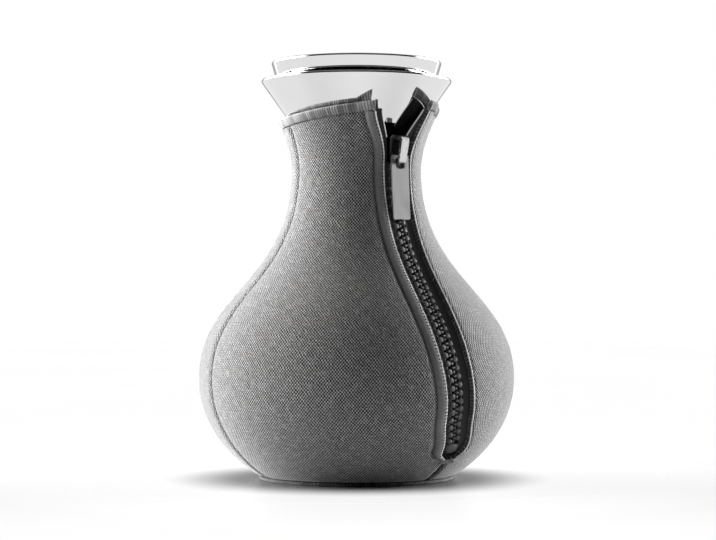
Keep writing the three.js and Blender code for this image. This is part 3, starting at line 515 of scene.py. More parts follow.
def metal(name, dark, light, roughness, stretch=(40.0, 40.0, 40.0), bump=0.0):
    """Steel: polished with faint smears, or brushed with long fine lines."""
    graph = Graph(bpy.data.materials.new(name))
    lines = graph.noise(graph.stretched(graph.place(), stretch), 1.0, 3.0)
    if bump:
        graph.bump(lines, bump, 0.4)
    return graph.finish(
        Base_Color=graph.mix(lines, grey(dark), grey(light)),
        Roughness=graph.remap(lines, 0.3, 0.7, *roughness), Metallic=1.0,
    )


def clear_glass(name):
    graph = Graph(bpy.data.materials.new(name))
    smear = graph.noise(graph.place(), 60.0)
    return graph.finish(
        Base_Color=(0.93, 0.97, 0.96, 1), Roughness=graph.remap(smear, 0.3, 0.8, 0.0, 0.05),
        Transmission_Weight=1.0, IOR=1.5,
    )


WEAVE = woven_cloth("woven_cloth", 0.008, 0.38)
LINING = plain_fibre("cover_lining", 0.035, 0.07)
HEM_THREAD = ribbed_cloth("overlock_thread", 0.05, 0.34, 1.35, 0.25)
BASE_THREAD = ribbed_cloth("base_thread", 0.012, 0.1, 1.7, 0.3)
BINDING = plain_fibre("zip_binding_cloth", 0.1, 0.155)
BAR_THREAD = plain_fibre("bar_thread", 0.1, 0.22)
BLACK_CLOTH = plain_fibre("black_cloth", 0.008, 0.02)
WALL_THREAD = ribbed_cloth("zip_wall_thread", 0.012, 0.2, 1.6, 0.0)
PALE_THREAD = plain_fibre("pale_thread", 0.55, 0.8, sheen=0.4)
DARK_THREAD = plain_fibre("dark_thread", 0.012, 0.035)
TOOTH = plain_fibre("tooth_plastic", 0.04, 0.066, roughness=(0.42, 0.55), sheen=0.0, bump=0.00002)
SILICONE = plain_fibre("silicone", 0.02, 0.035, roughness=(0.5, 0.65), sheen=0.0)
POLISHED = metal("polished_steel", 0.72, 0.78, (0.025, 0.05))
BRUSHED = metal("brushed_steel", 0.5, 0.58, (0.26, 0.34), (1500.0, 1500.0, 120.0), 0.00001)
# The pull tab's brushed steel, made darker than the bridge's: painted shade, so that the tab mirrors less of
# the bright light
SHADED_BRUSHED = metal("brushed_steel_painted_shade", 0.24, 0.29, (0.3, 0.36), (1500.0, 1500.0, 120.0), 0.00001)
GUNMETAL = metal("slider_metal", 0.025, 0.04, (0.12, 0.2), (300.0, 300.0, 300.0))
GLASS = clear_glass("glass")


def dress(piece, body, slot, materials, *replaced):
    """Gives a piece its finish, hides the CAD nodes it stands for and sets it on its body. The slot argument
    is not used.
    """
    for material in materials if isinstance(materials, (list, tuple)) else [materials]:
        piece.data.materials.append(material)
    if replaced:
        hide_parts(*replaced)
    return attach(piece, body)


# The cover's panels
PANEL_ROWS = 150
SEAM_DIP = 0.75
SEAM_DIP_REACH = 1.7
STITCH_PITCH = 2.4
PUCKER = 0.16
ZIP_ROLL = {-1: 1.5, 1: 0.7}
ZIP_ROLL_REACH = {-1: 1.5, 1: 1.1}


def edge_shares(columns=64, fine=9, margin=0.05):
    near = np.linspace(0, margin, fine, endpoint=False)
    middle = np.linspace(margin, 1 - margin, columns)
    return np.concatenate([near, middle, 1 - near[::-1]])


def seam_depth(distance, arc):
    """How far the cloth dips beside a sewn seam, with a pucker at each stitch."""
    near = np.exp(-((distance / SEAM_DIP_REACH) ** 2))
    pucker = PUCKER * np.cos(2 * math.pi * arc / STITCH_PITCH) * np.exp(-((distance / 2.6) ** 2))
    return SEAM_DIP * near + pucker * (1 - near)


def panel_grid(angle_at, top_of, edge_depth, inner_depth, shares, middle_angle):
    """Points and cloth coordinates of one panel. angle_at gives the angle for a share across and an arc."""
    rise = np.linspace(0, 1, PANEL_ROWS)[:, None]
    arc = lerp(FOOT_ARC, top_of(shares)[None, :], rise)
    angle = angle_at(shares[None, :], arc)
    outer = cover_point(angle, arc, edge_depth(angle, arc))
    inner = cover_point(angle, arc, inner_depth(angle, arc))
    across = np.radians(angle - middle_angle) * radius_at(arc)
    return outer, inner, np.stack([across, arc], -1)


def foot_depth(arc):
    """The cloth turns in under the belly at its foot."""
    return 0.5 * np.exp(-(((arc - FOOT_ARC) / 1.2) ** 2))


def plain_panel(name, start, end):
    def angle_at(share, arc):
        trim = np.degrees(SEAM_HALF_GAP / radius_at(arc))
        return lerp(start + trim, end - trim, share)

    def edge_depth(angle, arc):
        scale = np.radians(1) * radius_at(arc)
        from_start = seam_depth((angle - start) * scale, arc)
        from_end = seam_depth((end - angle) * scale, arc)
        return from_start + from_end + foot_depth(arc)

    def inner_depth(angle, arc):
        return cloth_thickness(height_at(arc))

    grid = panel_grid(
        angle_at, lambda share: panel_top(lerp(start, end, share)), edge_depth, inner_depth, edge_shares(),
        (start + end) / 2,
    )
    return shell(name, *grid)


def zip_panel(name, side, seam):
    def edge_angle(arc):
        return angle_beside(arc, side * panel_edge(side, arc))

    def angle_at(share, arc):
        trim = np.degrees(SEAM_HALF_GAP / radius_at(arc))
        return lerp(edge_angle(arc), seam - side * trim, share)

    def top_of(share):
        level = panel_top(ZIP_ANGLE_NECK)
        return panel_top(lerp(edge_angle(level), seam, share))

    def distances(angle, arc):
        scale = np.radians(1) * radius_at(arc)
        return side * (angle - edge_angle(arc)) * scale, side * (seam - angle) * scale

    def edge_depth(angle, arc):
        from_zip, from_seam = distances(angle, arc)
        roll = ZIP_ROLL[side] * np.exp(-((from_zip / ZIP_ROLL_REACH[side]) ** 2))
        return roll + seam_depth(from_seam, arc) + foot_depth(arc)

    def inner_depth(angle, arc):
        lateral = distances(angle, arc)[0] + panel_edge(side, arc)
        over_tape = (lateral < tape_edge(side, arc) + TAPE_WIDTH + GAP) & (arc > ZIP_CLOSE_ARC)
        return np.where(over_tape, FLANGE_THICKNESS, cloth_thickness(height_at(arc)))

    shares = edge_shares(84)
    grid = panel_grid(angle_at, top_of, edge_depth, inner_depth, shares, (ZIP_ANGLE_BELLY + seam) / 2)
    return shell(name, *grid)


def add_panel(piece, node):
    dress(piece, "carafe", "woven_cloth", [WEAVE, LINING], node)


add_panel(zip_panel("front_panel", -1, SEAM_LEFT), "cover_front_panel")
add_panel(zip_panel("right_panel", 1, SEAM_BACK_RIGHT), "cover_right_panel")
add_panel(plain_panel("left_panel", SEAM_BACK_LEFT, SEAM_LEFT), "cover_left_panel")
add_panel(plain_panel("back_panel", SEAM_BACK_RIGHT, SEAM_BACK_LEFT + FULL_TURN), "cover_back_panel")


# Flat seams: zigzag stitches across each join
THREAD_RADIUS = 0.24
SEAM_STITCH_REACH = 0.95


def seam_stitches(name, angle_of, low, high, reach=SEAM_STITCH_REACH, pitch=STITCH_PITCH, lift=-0.05):
    arcs = np.arange(low, high, pitch / 2)
    swing = np.where(np.arange(len(arcs)) % 2, 1, -1) * reach
    shares = np.linspace(0, 1, 5)
    start, end = arcs[:-1, None], arcs[1:, None]
    arc = lerp(start, end, shares)
    lateral = lerp(swing[:-1, None], swing[1:, None], shares)
    angle = angle_of(arc) + np.degrees(lateral / radius_at(arc))
    dip = SEAM_DIP * np.exp(-((lateral / SEAM_DIP_REACH) ** 2)) + lift
    piece = threads(name, cover_point(angle, arc, dip), THREAD_RADIUS)
    return dress(piece, "carafe", "black_cloth", DARK_THREAD)


SEAM_END_MARGIN = 0.6
SEAMS = {"left": SEAM_LEFT, "back_left": SEAM_BACK_LEFT, "back_right": SEAM_BACK_RIGHT}
for seam_name, seam_angle in SEAMS.items():
    seam_stitches(
        f"{seam_name}_seam_stitches", lambda arc, angle=seam_angle: angle, FOOT_ARC + SEAM_END_MARGIN,
        panel_top(seam_angle) - SEAM_END_MARGIN,
    )
seam_stitches(
    "zip_foot_seam_stitches", lambda arc: angle_beside(arc, 0), FOOT_ARC + SEAM_END_MARGIN,
    ZIP_CLOSE_ARC - SEAM_END_MARGIN, reach=1.3, pitch=1.7, lift=-0.3,
)

# The overlocked top hem
HEM_RIB_PITCH = 1.35
HEM_RIB_STEPS = 6
HEM_RIB_HEIGHT = 0.2
HEM_SWELL = 0.4


def top_hem():
    highest = top_arc(ZIP_ANGLE_NECK)
    start = angle_beside(highest, opening_edge(1, highest))
    end = angle_beside(highest, -opening_edge(-1, highest)) + FULL_TURN
    ribs = int(np.radians(end - start) * MOUTH_RADIUS / HEM_RIB_PITCH)
    angle = np.linspace(start, end, ribs * HEM_RIB_STEPS + 1)[:, None]
    length = np.radians(angle - start) * MOUTH_RADIUS
    turn = np.linspace(0, 2 * math.pi, 20, endpoint=False)[None, :]
    half = HEM_HEIGHT / 2
    middle_depth = (MOUTH_CLOTH_THICKNESS - HEM_SWELL) / 2
    half_depth = (MOUTH_CLOTH_THICKNESS + HEM_SWELL) / 2
    flat = np.sign(np.sin(turn)) * np.abs(np.sin(turn)) ** 0.75
    proud = np.sign(np.cos(turn)) * np.abs(np.cos(turn)) ** 0.6
    lean = 0.25 * half * flat
    rib = HEM_RIB_HEIGHT * (np.abs(np.sin(math.pi * (length + lean) / HEM_RIB_PITCH)) - 0.6)
    ends = np.minimum(1, np.minimum(length, length.max() - length) / 0.7 + 0.35)
    arc = top_arc(angle) - half + half * flat
    depth = middle_depth - (half_depth + rib) * proud * ends
    piece = sweep("top_hem", cover_point(angle, arc, depth), np.stack([length + 0 * arc, arc], -1))
    dress(piece, "carafe", "woven_cloth", HEM_THREAD, "cover_top_hem")


top_hem()

# The base and its bound edge
BASE_BINDING_RADIUS = 0.7
BASE_BINDING_HEIGHT = 0.8
BASE_RIB_PITCH = 1.7
BASE_CLOTH_THICKNESS = 4.0
BASE_RIB_HEIGHT = 0.16
BASE_EDGE = 0.6


def base_binding():
    centre = BASE_RADIUS + BASE_BINDING_RADIUS
    ribs = int(2 * math.pi * centre / BASE_RIB_PITCH)
    angle = np.linspace(0, 2 * math.pi, ribs * 6, endpoint=False)[:, None]
    turn = np.linspace(0, 2 * math.pi, 14, endpoint=False)[None, :]
    length = angle * centre
    rib = BASE_RIB_HEIGHT * (np.abs(np.sin(angle * ribs / 2 + turn * 0.25)) - 0.75)
    radius = centre + (BASE_BINDING_RADIUS + rib) * np.cos(turn)
    height = BASE_BINDING_HEIGHT + (BASE_BINDING_RADIUS + rib) * np.sin(turn)
    points = np.stack([radius * np.sin(angle), -radius * np.cos(angle), height], -1)
    uvs = np.stack([length + 0 * turn, turn + 0 * length], -1)
    piece = sweep("base_binding", points, uvs, closed_path=True)
    dress(piece, "carafe", "black_cloth", BASE_THREAD, "cover_base_binding")


def base_disc():
    radius = BASE_RADIUS - BASE_BINDING_RADIUS
    rings = np.linspace(radius - BASE_EDGE, 0, 24)
    quilt = [[r, 0.12 + 0.1 * math.sin(r * 0.9)] for r in rings]
    quilt[-1] = [0, 0.1]
    top = BASE_CLOTH_THICKNESS
    upper = [[0, top], [radius - BASE_EDGE, top], [radius, top - BASE_EDGE]]
    lower = [[radius, BASE_EDGE], [radius - BASE_EDGE / 2, 0.05]]
    piece = lathe("base_disc", upper + lower + quilt, 120)
    dress(piece, "carafe", "black_cloth", BLACK_CLOTH, "cover_base")


base_binding()
base_disc()

# The zip: bindings, tapes, teeth, stop and end bar
ZIP_STATIONS = 190


def zip_arcs(side, low, stations=ZIP_STATIONS):
    edge = opening_edge(side, panel_top(ZIP_ANGLE_NECK))
    high = panel_top(angle_beside(panel_top(ZIP_ANGLE_NECK), side * edge))
    return np.linspace(low, high, stations)[:, None]


def zip_binding(name, side, section, material, slot, node):
    """A sewn strip along the zip. section holds [share of the width from the opening, depth] pairs."""
    section = np.array(section, float)
    arc = zip_arcs(side, ZIP_CLOSE_ARC + 0.35)
    lateral = opening_edge(side, arc) + BINDING_WIDTH[side] * closing(side, arc) * section[None, :, 0]
    depth = section[None, :, 1] + 0 * arc
    run = np.concatenate([[0], np.cumsum(np.linalg.norm(np.diff(section, axis=0), axis=1))])
    uvs = np.stack([arc + 0 * lateral, run[None, :] + 0 * lateral], -1)
    piece = sweep(name, zip_point(arc, side * lateral, depth), uvs)
    return dress(piece, "carafe", slot, material, node)


zip_binding("zip_strip_left", -1, [
    [0.02, 2.1], [0.0, 1.5], [0.0, 0.7], [0.06, 0.1], [0.16, -0.25], [0.35, -0.42], [0.6, -0.42], [0.8, -0.2],
    [0.92, 0.25], [0.98, 1.0], [0.98, 2.1],
], BINDING, "binding_cloth", "zip_binding_left")
zip_binding("zip_strip_right", 1, [
    [0.05, 2.15], [0.0, 1.9], [0.02, 0.5], [0.2, 0.1], [0.6, 0.0], [0.9, 0.1], [0.95, 0.4], [0.95, 2.15],
], WALL_THREAD, "black_cloth", "zip_binding_right")

EDGE_STITCH_PITCH = 1.6


def edge_span(side):
    return zip_arcs(side, ZIP_CLOSE_ARC + 1.2, 2).ravel()


def edge_ticks(name, side, lateral_at, depth_at, radius):
    """A row of short dark stitches over one edge of the zip, through three laterals and depths."""
    arc = np.arange(*edge_span(side), EDGE_STITCH_PITCH)[:, None]
    share = np.linspace(0, 1, 5)[None, :]
    lateral = opening_edge(side, arc) + closing(side, arc) * np.interp(share, [0, 0.5, 1], lateral_at)
    depth = np.interp(share, [0, 0.5, 1], depth_at) + 0 * arc
    piece = threads(name, zip_point(arc + 0 * share, side * lateral, depth), radius)
    return dress(piece, "carafe", "black_cloth", DARK_THREAD)


def edge_cord(name, side, lateral, depth, radius):
    """The pale cord sewn along one edge of the zip, a little thinner at each stitch."""
    low, high = edge_span(side)
    arc = np.linspace(low, high, int((high - low) / EDGE_STITCH_PITCH * 6))
    beads = 0.62 + 0.38 * np.abs(np.sin(math.pi * (arc - low) / EDGE_STITCH_PITCH))
    line = zip_point(arc, side * (opening_edge(side, arc) + closing(side, arc) * lateral), depth)
    dress(threads(name, line[None], radius, beads), "carafe", "binding_cloth", PALE_THREAD)


edge_cord("left_edge_cord", -1, 0.02, 0.3, 0.4)
edge_ticks("left_edge_ticks", -1, [1.3, 0.85, 0.42], [-0.36, -0.3, 0.0], 0.36)
edge_cord("right_edge_cord", 1, 0.5, -0.02, 0.34)
edge_ticks("right_edge_ticks", 1, [-0.02, -0.05, 0.05], [1.5, 0.8, 0.3], 0.34)


def zip_tape(name, side, node):
    arc = zip_arcs(side, ZIP_FOOT_ARC + GAP, 160)
    shares = np.linspace(0, 1, 13)[None, :]
    lateral = tape_edge(side, arc) + TAPE_WIDTH * shares
    wave = 0.05 * np.sin(2 * math.pi * arc / 1.1) * (shares > 0) * (shares < 1)
    outer = zip_point(arc, side * lateral, ZIP_DEPTH - TAPE_THICKNESS / 2 + wave)
    inner = zip_point(arc, side * lateral, ZIP_DEPTH + TAPE_THICKNESS / 2 + 0 * arc)
    uvs = np.stack([arc + 0 * lateral, lateral], -1)
    piece = shell(name, outer, inner, uvs)
    dress(piece, "carafe", "black_cloth", BLACK_CLOTH, node)


zip_tape("tape_left", -1, "zip_tape_left")
zip_tape("tape_right", 1, "zip_tape_right")

# Above the slider each tape shows the pale cord along its edge.
TAPE_CORD_RADIUS = 0.33


def tape_cord(name, side):
    low = SLIDER_ARC + 4.5
    high = zip_arcs(side, low, 2).ravel()[1] - 0.4
    arc = np.linspace(low, high, 30)
    line = zip_point(arc, side * (tape_edge(side, arc) - 0.1), ZIP_DEPTH - 0.15)
    dress(threads(name, line[None], TAPE_CORD_RADIUS), "carafe", "binding_cloth", PALE_THREAD)


tape_cord("tape_cord_left", -1)
tape_cord("tape_cord_right", 1)

TOOTH_THICKNESS = 2.6
STOP_LENGTH = 5.6
STOP_THICKNESS = 3.2
TOOTH_FRONT = 1.1
TOOTH_OUTLINE = [
    [TOOTH_HALF_WIDTH, TOOTH_ROOT], [TOOTH_HALF_WIDTH, TOOTH_FRONT],
    [-TOOTH_HALF_WIDTH, TOOTH_FRONT], [-TOOTH_HALF_WIDTH, TOOTH_ROOT],
]
HEAD_OUTLINE = [
    [0.34, 1.5], [0.34, 0.75], [0.76, 0.3], [0.6, -0.75],
    [-0.6, -0.75], [-0.76, 0.3], [-0.34, 0.75], [-0.34, 1.5],
]
HEAD_THICKNESS = TOOTH_THICKNESS - 0.5
FIRST_TOOTH_ARC = ZIP_FOOT_ARC + GAP + STOP_LENGTH + GAP + TOOTH_HALF_WIDTH


def rounded_outline(outline_points, cut):
    """Each corner of the outline is cut into two, so that the moulded edges look rounded."""
    points = np.array(outline_points, float)
    made = []
    for before, here, after in zip(np.roll(points, 1, 0), points, np.roll(points, -1, 0)):
        for other in (before, after):
            way = other - here
            made.append(here + way / np.linalg.norm(way) * min(cut, 0.45 * np.linalg.norm(way)))
    return np.array(made)


def moulded_blocks(name, outline_points, arcs, side, thickness, chamfer, cut):
    """Moulded blocks along the zip with domed tops, all in one mesh."""
    shape = rounded_outline(outline_points, cut)
    centre = shape.mean(0)
    half = thickness / 2
    top, bottom = -half, half
    layers = [
        (0.55, top), (0.86, top + chamfer * 0.3), (1.0, top + chamfer),
        (1.0, bottom - chamfer), (0.8, bottom),
    ]
    rings = []
    for scale, depth in layers:
        ring = centre + (shape - centre) * scale
        arc = np.asarray(arcs)[:, None] + ring[None, :, 0]
        rings.append(zip_point(arc, side * ring[None, :, 1] + 0 * arc, ZIP_DEPTH + depth))
    points = np.stack(rings, 1)
    blocks, levels, around = points.shape[:3]
    index = np.arange(blocks * levels * around).reshape(blocks, levels, around)
    onward = np.roll(index, -1, axis=2)
    sides = np.stack([index[:, :-1], onward[:, :-1], onward[:, 1:], index[:, 1:]], -1).reshape(-1, 4).tolist()
    caps = index[:, 0].tolist() + index[:, -1, ::-1].tolist()
    return add_mesh(name, points, sides + caps, None, None, 60)


def tooth_row(name, side, node):
    start = FIRST_TOOTH_ARC + (0 if side < 0 else TOOTH_PITCH / 2)
    count = int((SLIDER_ARC - start) // TOOTH_PITCH)
    arcs = start + TOOTH_PITCH * np.arange(count)
    piece = moulded_blocks(name, TOOTH_OUTLINE, arcs, side, TOOTH_THICKNESS, 0.7, 0.55)
    dress(piece, "carafe", "tooth_plastic", TOOTH, node)
    heads = moulded_blocks(f"{name}_heads", HEAD_OUTLINE, arcs, side, HEAD_THICKNESS, 0.5, 0.3)
    dress(heads, "carafe", "tooth_plastic", TOOTH)
    cord_arc = np.linspace(arcs[0], arcs[-1], count * 2)
    cord = threads(f"{name}_cord", zip_point(cord_arc, side * (TOOTH_ROOT - 0.7), ZIP_DEPTH)[None], 0.5)
    dress(cord, "carafe", "tooth_plastic", TOOTH)


tooth_row("teeth_left", -1, "zip_teeth_left")
tooth_row("teeth_right", 1, "zip_teeth_right")

STOP_OUTLINE = [
    [STOP_LENGTH, -3.8], [2.2, -3.8], [0.5, -1.9], [0, 0], [0.5, 1.9], [2.2, 3.8], [STOP_LENGTH, 3.8],
]
stop = moulded_blocks("bottom_stop", STOP_OUTLINE, [ZIP_FOOT_ARC + GAP], 1, STOP_THICKNESS, 0.6, 0.6)
dress(stop, "carafe", "tooth_plastic", TOOTH, "zip_bottom_stop")

END_BAR_HEIGHT = 3.0
END_BAR_WIDTH = 9.0
END_BAR_PITCH = 0.95


def end_bar():
    """Bar tack under the zip: a ladder of stitches side by side."""
    lateral = np.arange(-END_BAR_WIDTH / 2, END_BAR_WIDTH / 2, END_BAR_PITCH)[:, None]
    share = np.linspace(0, 1, 6)[None, :]
    arc = ZIP_CLOSE_ARC - END_BAR_HEIGHT * share + 0 * lateral
    depth = 0.35 - 0.75 * np.sin(math.pi * share) + 0 * lateral
    piece = threads("end_bar_stitches", zip_point(arc, lateral + 0 * arc, depth), 0.32)
    dress(piece, "carafe", "black_cloth", BAR_THREAD, "zip_end_bar")


end_bar()

# Turned steel, glass and rubber
GLASS_WALL = 2.0
GLASS_FLOOR = 4.0
GLASS_PUNT = 2.0
GLASS_GAP = 0.7
GLASS_DEPTH = CLOTH_THICKNESS + GLASS_GAP
GLASS_FOOT = BASE_CLOTH_THICKNESS + GLASS_GAP
NECK_BORE = NECK_RADIUS - GLASS_DEPTH - GLASS_WALL
NECK_SEAL_SPACE = 1.3
SLEEVE_RADIUS = NECK_BORE - NECK_SEAL_SPACE
RUNNING_GAP = 0.25
COLLAR_RIM_RADIUS = 45.4
COLLAR_RIM_HEIGHT = 190.2
COLLAR_CONE_RISE = 9.16
COLLAR_CONE_HEIGHT = COLLAR_RIM_HEIGHT - NECK_HEIGHT - COLLAR_CONE_RISE
COLLAR_TANGENT = (COLLAR_RIM_RADIUS - SLEEVE_RADIUS) / COLLAR_CONE_HEIGHT
COLLAR_TURN = math.atan(COLLAR_TANGENT)
COLLAR_LIP = 1.0
COLLAR_WALL = 0.9
COLLAR_SLEEVE_END = 140.0
LIP_RADIUS = COLLAR_RIM_RADIUS - COLLAR_LIP
LIP_HEIGHT = COLLAR_RIM_HEIGHT - COLLAR_LIP


def collar_radius(height):
    tangent_radius = LIP_RADIUS + COLLAR_LIP * math.cos(COLLAR_TURN)
    tangent_height = LIP_HEIGHT - COLLAR_LIP * math.sin(COLLAR_TURN)
    return tangent_radius + (height - tangent_height) * COLLAR_TANGENT


def collar_height(radius):
    return COLLAR_RIM_HEIGHT - (collar_radius(COLLAR_RIM_HEIGHT) - radius) / COLLAR_TANGENT


def rolled_lip(radius, height, lip, slope, steps=14):
    turns = np.linspace(-slope, math.pi - slope, steps + 1)
    return [[radius + lip * math.cos(turn), height + lip * math.sin(turn)] for turn in turns]


def pouring_collar():
    side_step = COLLAR_WALL / math.cos(COLLAR_TURN)
    inner = SLEEVE_RADIUS - COLLAR_WALL
    low = LIP_HEIGHT - COLLAR_LIP * 2
    piece = lathe("collar", [
        [SLEEVE_RADIUS, COLLAR_SLEEVE_END], [SLEEVE_RADIUS, collar_height(SLEEVE_RADIUS)],
        *rolled_lip(LIP_RADIUS, LIP_HEIGHT, COLLAR_LIP, COLLAR_TURN),
        [collar_radius(low) - side_step, low], [inner, collar_height(inner + side_step)],
        [inner, COLLAR_SLEEVE_END],
    ], 240)
    dress(piece, "collar", "polished_steel", POLISHED, "pouring_collar")


SEAL_HEIGHT = 5.0


def collar_seal():
    inner = SLEEVE_RADIUS + RUNNING_GAP
    outer = NECK_BORE - RUNNING_GAP
    low = NECK_HEIGHT - SEAL_HEIGHT / 2
    ribs = []
    for share in np.linspace(0, 1, 25):
        swell = 0.6 + 0.4 * abs(math.sin(2 * math.pi * share))
        ribs.append([lerp(inner, outer, swell), low + SEAL_HEIGHT * share])
    piece = lathe("neck_seal", [[inner, low], *ribs, [inner, low + SEAL_HEIGHT]], 120)
    dress(piece, "collar", "silicone", SILICONE, "collar_seal")


pouring_collar()
collar_seal()

STRAINER_RIM_RADIUS = 40.6
STRAINER_RIM_HEIGHT = 198.5
STRAINER_TURN = math.radians(17)
STRAINER_TANGENT = math.tan(STRAINER_TURN)
STRAINER_WALL = 0.8
STRAINER_LIP = 0.8
STRAINER_THROAT_END = 149.0
STRAINER_LIP_RADIUS = STRAINER_RIM_RADIUS - STRAINER_LIP
STRAINER_LIP_HEIGHT = STRAINER_RIM_HEIGHT - STRAINER_LIP
NEST_STEP = (COLLAR_WALL + GAP) / math.cos(COLLAR_TURN)
THROAT_RADIUS = SLEEVE_RADIUS - COLLAR_WALL - GAP
THROAT_BORE = THROAT_RADIUS - STRAINER_WALL


def strainer_radius(height):
    tangent_radius = STRAINER_LIP_RADIUS + STRAINER_LIP * math.cos(STRAINER_TURN)
    tangent_height = STRAINER_LIP_HEIGHT - STRAINER_LIP * math.sin(STRAINER_TURN)
    return tangent_radius + (height - tangent_height) * STRAINER_TANGENT


def strainer_bore(height):
    return strainer_radius(height) - STRAINER_WALL / math.cos(STRAINER_TURN)


def strainer_funnel():
    nest_at_rim = collar_radius(STRAINER_RIM_HEIGHT) - NEST_STEP
    drop = (nest_at_rim - strainer_radius(STRAINER_RIM_HEIGHT)) / (COLLAR_TANGENT - STRAINER_TANGENT)
    kink = STRAINER_RIM_HEIGHT - drop
    inner_kink = kink + STRAINER_WALL * math.tan((COLLAR_TURN - STRAINER_TURN) / 2)
    cone_step = STRAINER_WALL / math.cos(COLLAR_TURN)
    low = STRAINER_LIP_HEIGHT - STRAINER_LIP * 2
    piece = lathe("funnel", [
        [THROAT_RADIUS, STRAINER_THROAT_END], [THROAT_RADIUS, collar_height(THROAT_RADIUS + NEST_STEP)],
        [strainer_radius(kink), kink],
        *rolled_lip(STRAINER_LIP_RADIUS, STRAINER_LIP_HEIGHT, STRAINER_LIP, STRAINER_TURN),
        [strainer_bore(low), low], [strainer_bore(inner_kink), inner_kink],
        [THROAT_BORE, collar_height(THROAT_BORE + NEST_STEP + cone_step)], [THROAT_BORE, STRAINER_THROAT_END],
    ], 240)
    dress(piece, "strainer", "polished_steel", POLISHED, "strainer_funnel")


strainer_funnel()

LID_HEIGHT = 187.5
LID_PLATE_THICKNESS = 1.0
LID_TOP = LID_HEIGHT + LID_PLATE_THICKNESS
LID_RADIUS = strainer_bore(LID_HEIGHT) - 2 * GAP
LID_SEAL_WIDTH = 2.6
LID_SEAL_HEIGHT = 3.6
SKIRT_RADIUS = LID_RADIUS - LID_SEAL_WIDTH - GAP
SCREW_HOLE = 2.0 + RUNNING_GAP
SKIRT_HEIGHT = 6.0
LID_EDGE = 0.35
KNOB_HOLE_DEPTH = 5.0


def lid():
    bore = SKIRT_RADIUS - LID_PLATE_THICKNESS
    foot = LID_HEIGHT - SKIRT_HEIGHT
    edge = LID_EDGE
    plate = lathe("lid_disc", [
        [SCREW_HOLE, LID_HEIGHT], [bore, LID_HEIGHT], [bore, foot],
        [SKIRT_RADIUS, foot], [SKIRT_RADIUS, LID_HEIGHT],
        [LID_RADIUS - edge, LID_HEIGHT], [LID_RADIUS, LID_HEIGHT + edge], [LID_RADIUS, LID_TOP - edge],
        [LID_RADIUS - edge * 0.3, LID_TOP - edge * 0.3], [LID_RADIUS - edge, LID_TOP], [SCREW_HOLE, LID_TOP],
    ], 180, 40)
    dress(plate, "lid", "polished_steel", POLISHED, "lid_plate")
    inner = SKIRT_RADIUS + GAP
    high = LID_HEIGHT - GAP
    low = high - LID_SEAL_HEIGHT
    lips = []
    for share in np.linspace(0, 1, 19):
        height = lerp(low, high, share)
        lips.append([strainer_bore(height) - GAP - 0.7 * math.sin(3 * math.pi * share) ** 2, height])
    seal = lathe("lid_gasket", [[inner, low], *lips, [inner, high]], 120)
    dress(seal, "lid", "silicone", SILICONE, "lid_seal")
    knob_low = LID_TOP + GAP
    waist = [[5, 0], [4.85, 0.8], [4.9, 1.8], [5.3, 3.0], [6.3, 4.2], [7.5, 5.1], [8, 5.8]]
    crown = [[8, 7.2], [7.85, 7.8], [7.45, 8.25], [6.9, 8.5], [0, 8.5]]
    body = [[radius, knob_low + rise] for radius, rise in waist + crown]
    hole_end = knob_low + KNOB_HOLE_DEPTH
    knob = lathe("knob", [[0, hole_end], [SCREW_HOLE, hole_end], [SCREW_HOLE, knob_low], *body], 96)
    dress(knob, "lid", "polished_steel", POLISHED, "lid_knob")


lid()


def glass_side(depth, lowest, rows=90):
    heights = ARC_HEIGHT - depth * ARC_NORMAL_Z
    arcs = np.linspace(np.interp(lowest, heights, ARC), GLASS_TOP_ARC, rows)
    radius, height, normal_r, normal_z = outline(arcs)
    return np.stack([radius - depth * normal_r, height - depth * normal_z], -1).tolist()


def glass_top_arc():
    arcs = np.linspace(arc_at_height(NECK_HEIGHT), ARC[-1], 2000)
    radius, height, normal_r, normal_z = outline(arcs)
    depth = GLASS_DEPTH + GLASS_WALL
    clear = radius - depth * normal_r - np.vectorize(collar_radius)(height - depth * normal_z) > GAP
    below = height - depth * normal_z < NECK_HEIGHT
    return arcs[np.argmin(clear | below)]


GLASS_TOP_ARC = glass_top_arc()


def glass_carafe():
    outer = glass_side(GLASS_DEPTH, GLASS_FOOT + GLASS_FLOOR / 4)
    inner = glass_side(GLASS_DEPTH + GLASS_WALL, GLASS_FOOT + GLASS_FLOOR + GLASS_WALL)
    foot, floor = outer[0][0], inner[0][0]
    (outer_r, outer_z), (inner_r, inner_z) = outer[-1], inner[-1]
    lip = []
    for share in (0.25, 0.5, 0.75):
        crown = 0.5 * math.sin(math.pi * share)
        lip.append([lerp(outer_r, inner_r, share), lerp(outer_z, inner_z, share) + crown])
    piece = lathe("carafe_glass", [
        [0, GLASS_FOOT + GLASS_PUNT], [foot / 2, GLASS_FOOT + GLASS_PUNT * 0.7],
        [foot - GLASS_FLOOR, GLASS_FOOT], [foot - GLASS_FLOOR / 4, GLASS_FOOT], *outer, *lip, *inner[::-1],
        [floor - GLASS_WALL, GLASS_FOOT + GLASS_FLOOR], [0, GLASS_FOOT + GLASS_FLOOR],
    ], 180, 40)
    dress(piece, "carafe", "glass", GLASS, "glass_carafe")


glass_carafe()

# CAD nodes whose shape is kept: bevelled edges and finishes
BEVEL_ANGLE = math.radians(35)
EDGE_BEVEL = {"zip_slider_body": 0.22, "zip_slider_bridge": 0.3, "zip_pull_tab": 0.16}
KEPT_FINISH = {
    # The pull tab takes the darkened copy of the brushed steel, a painted shade
    "zip_slider_body": GUNMETAL, "zip_slider_bridge": BRUSHED, "zip_pull_tab": SHADED_BRUSHED,
    "strainer_basket": BRUSHED, "strainer_base": BRUSHED, "lid_knob_screw": BRUSHED,
}
for node_name, finish in KEPT_FINISH.items():
    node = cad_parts[node_name]
    node.data.materials.clear()
    node.data.materials.append(finish)
    if node_name in EDGE_BEVEL:
        bevel = node.modifiers.new("edges", "BEVEL")
        bevel.width = EDGE_BEVEL[node_name] * MM
        bevel.segments = 3
        bevel.limit_method = "ANGLE"
        bevel.angle_limit = BEVEL_ANGLE

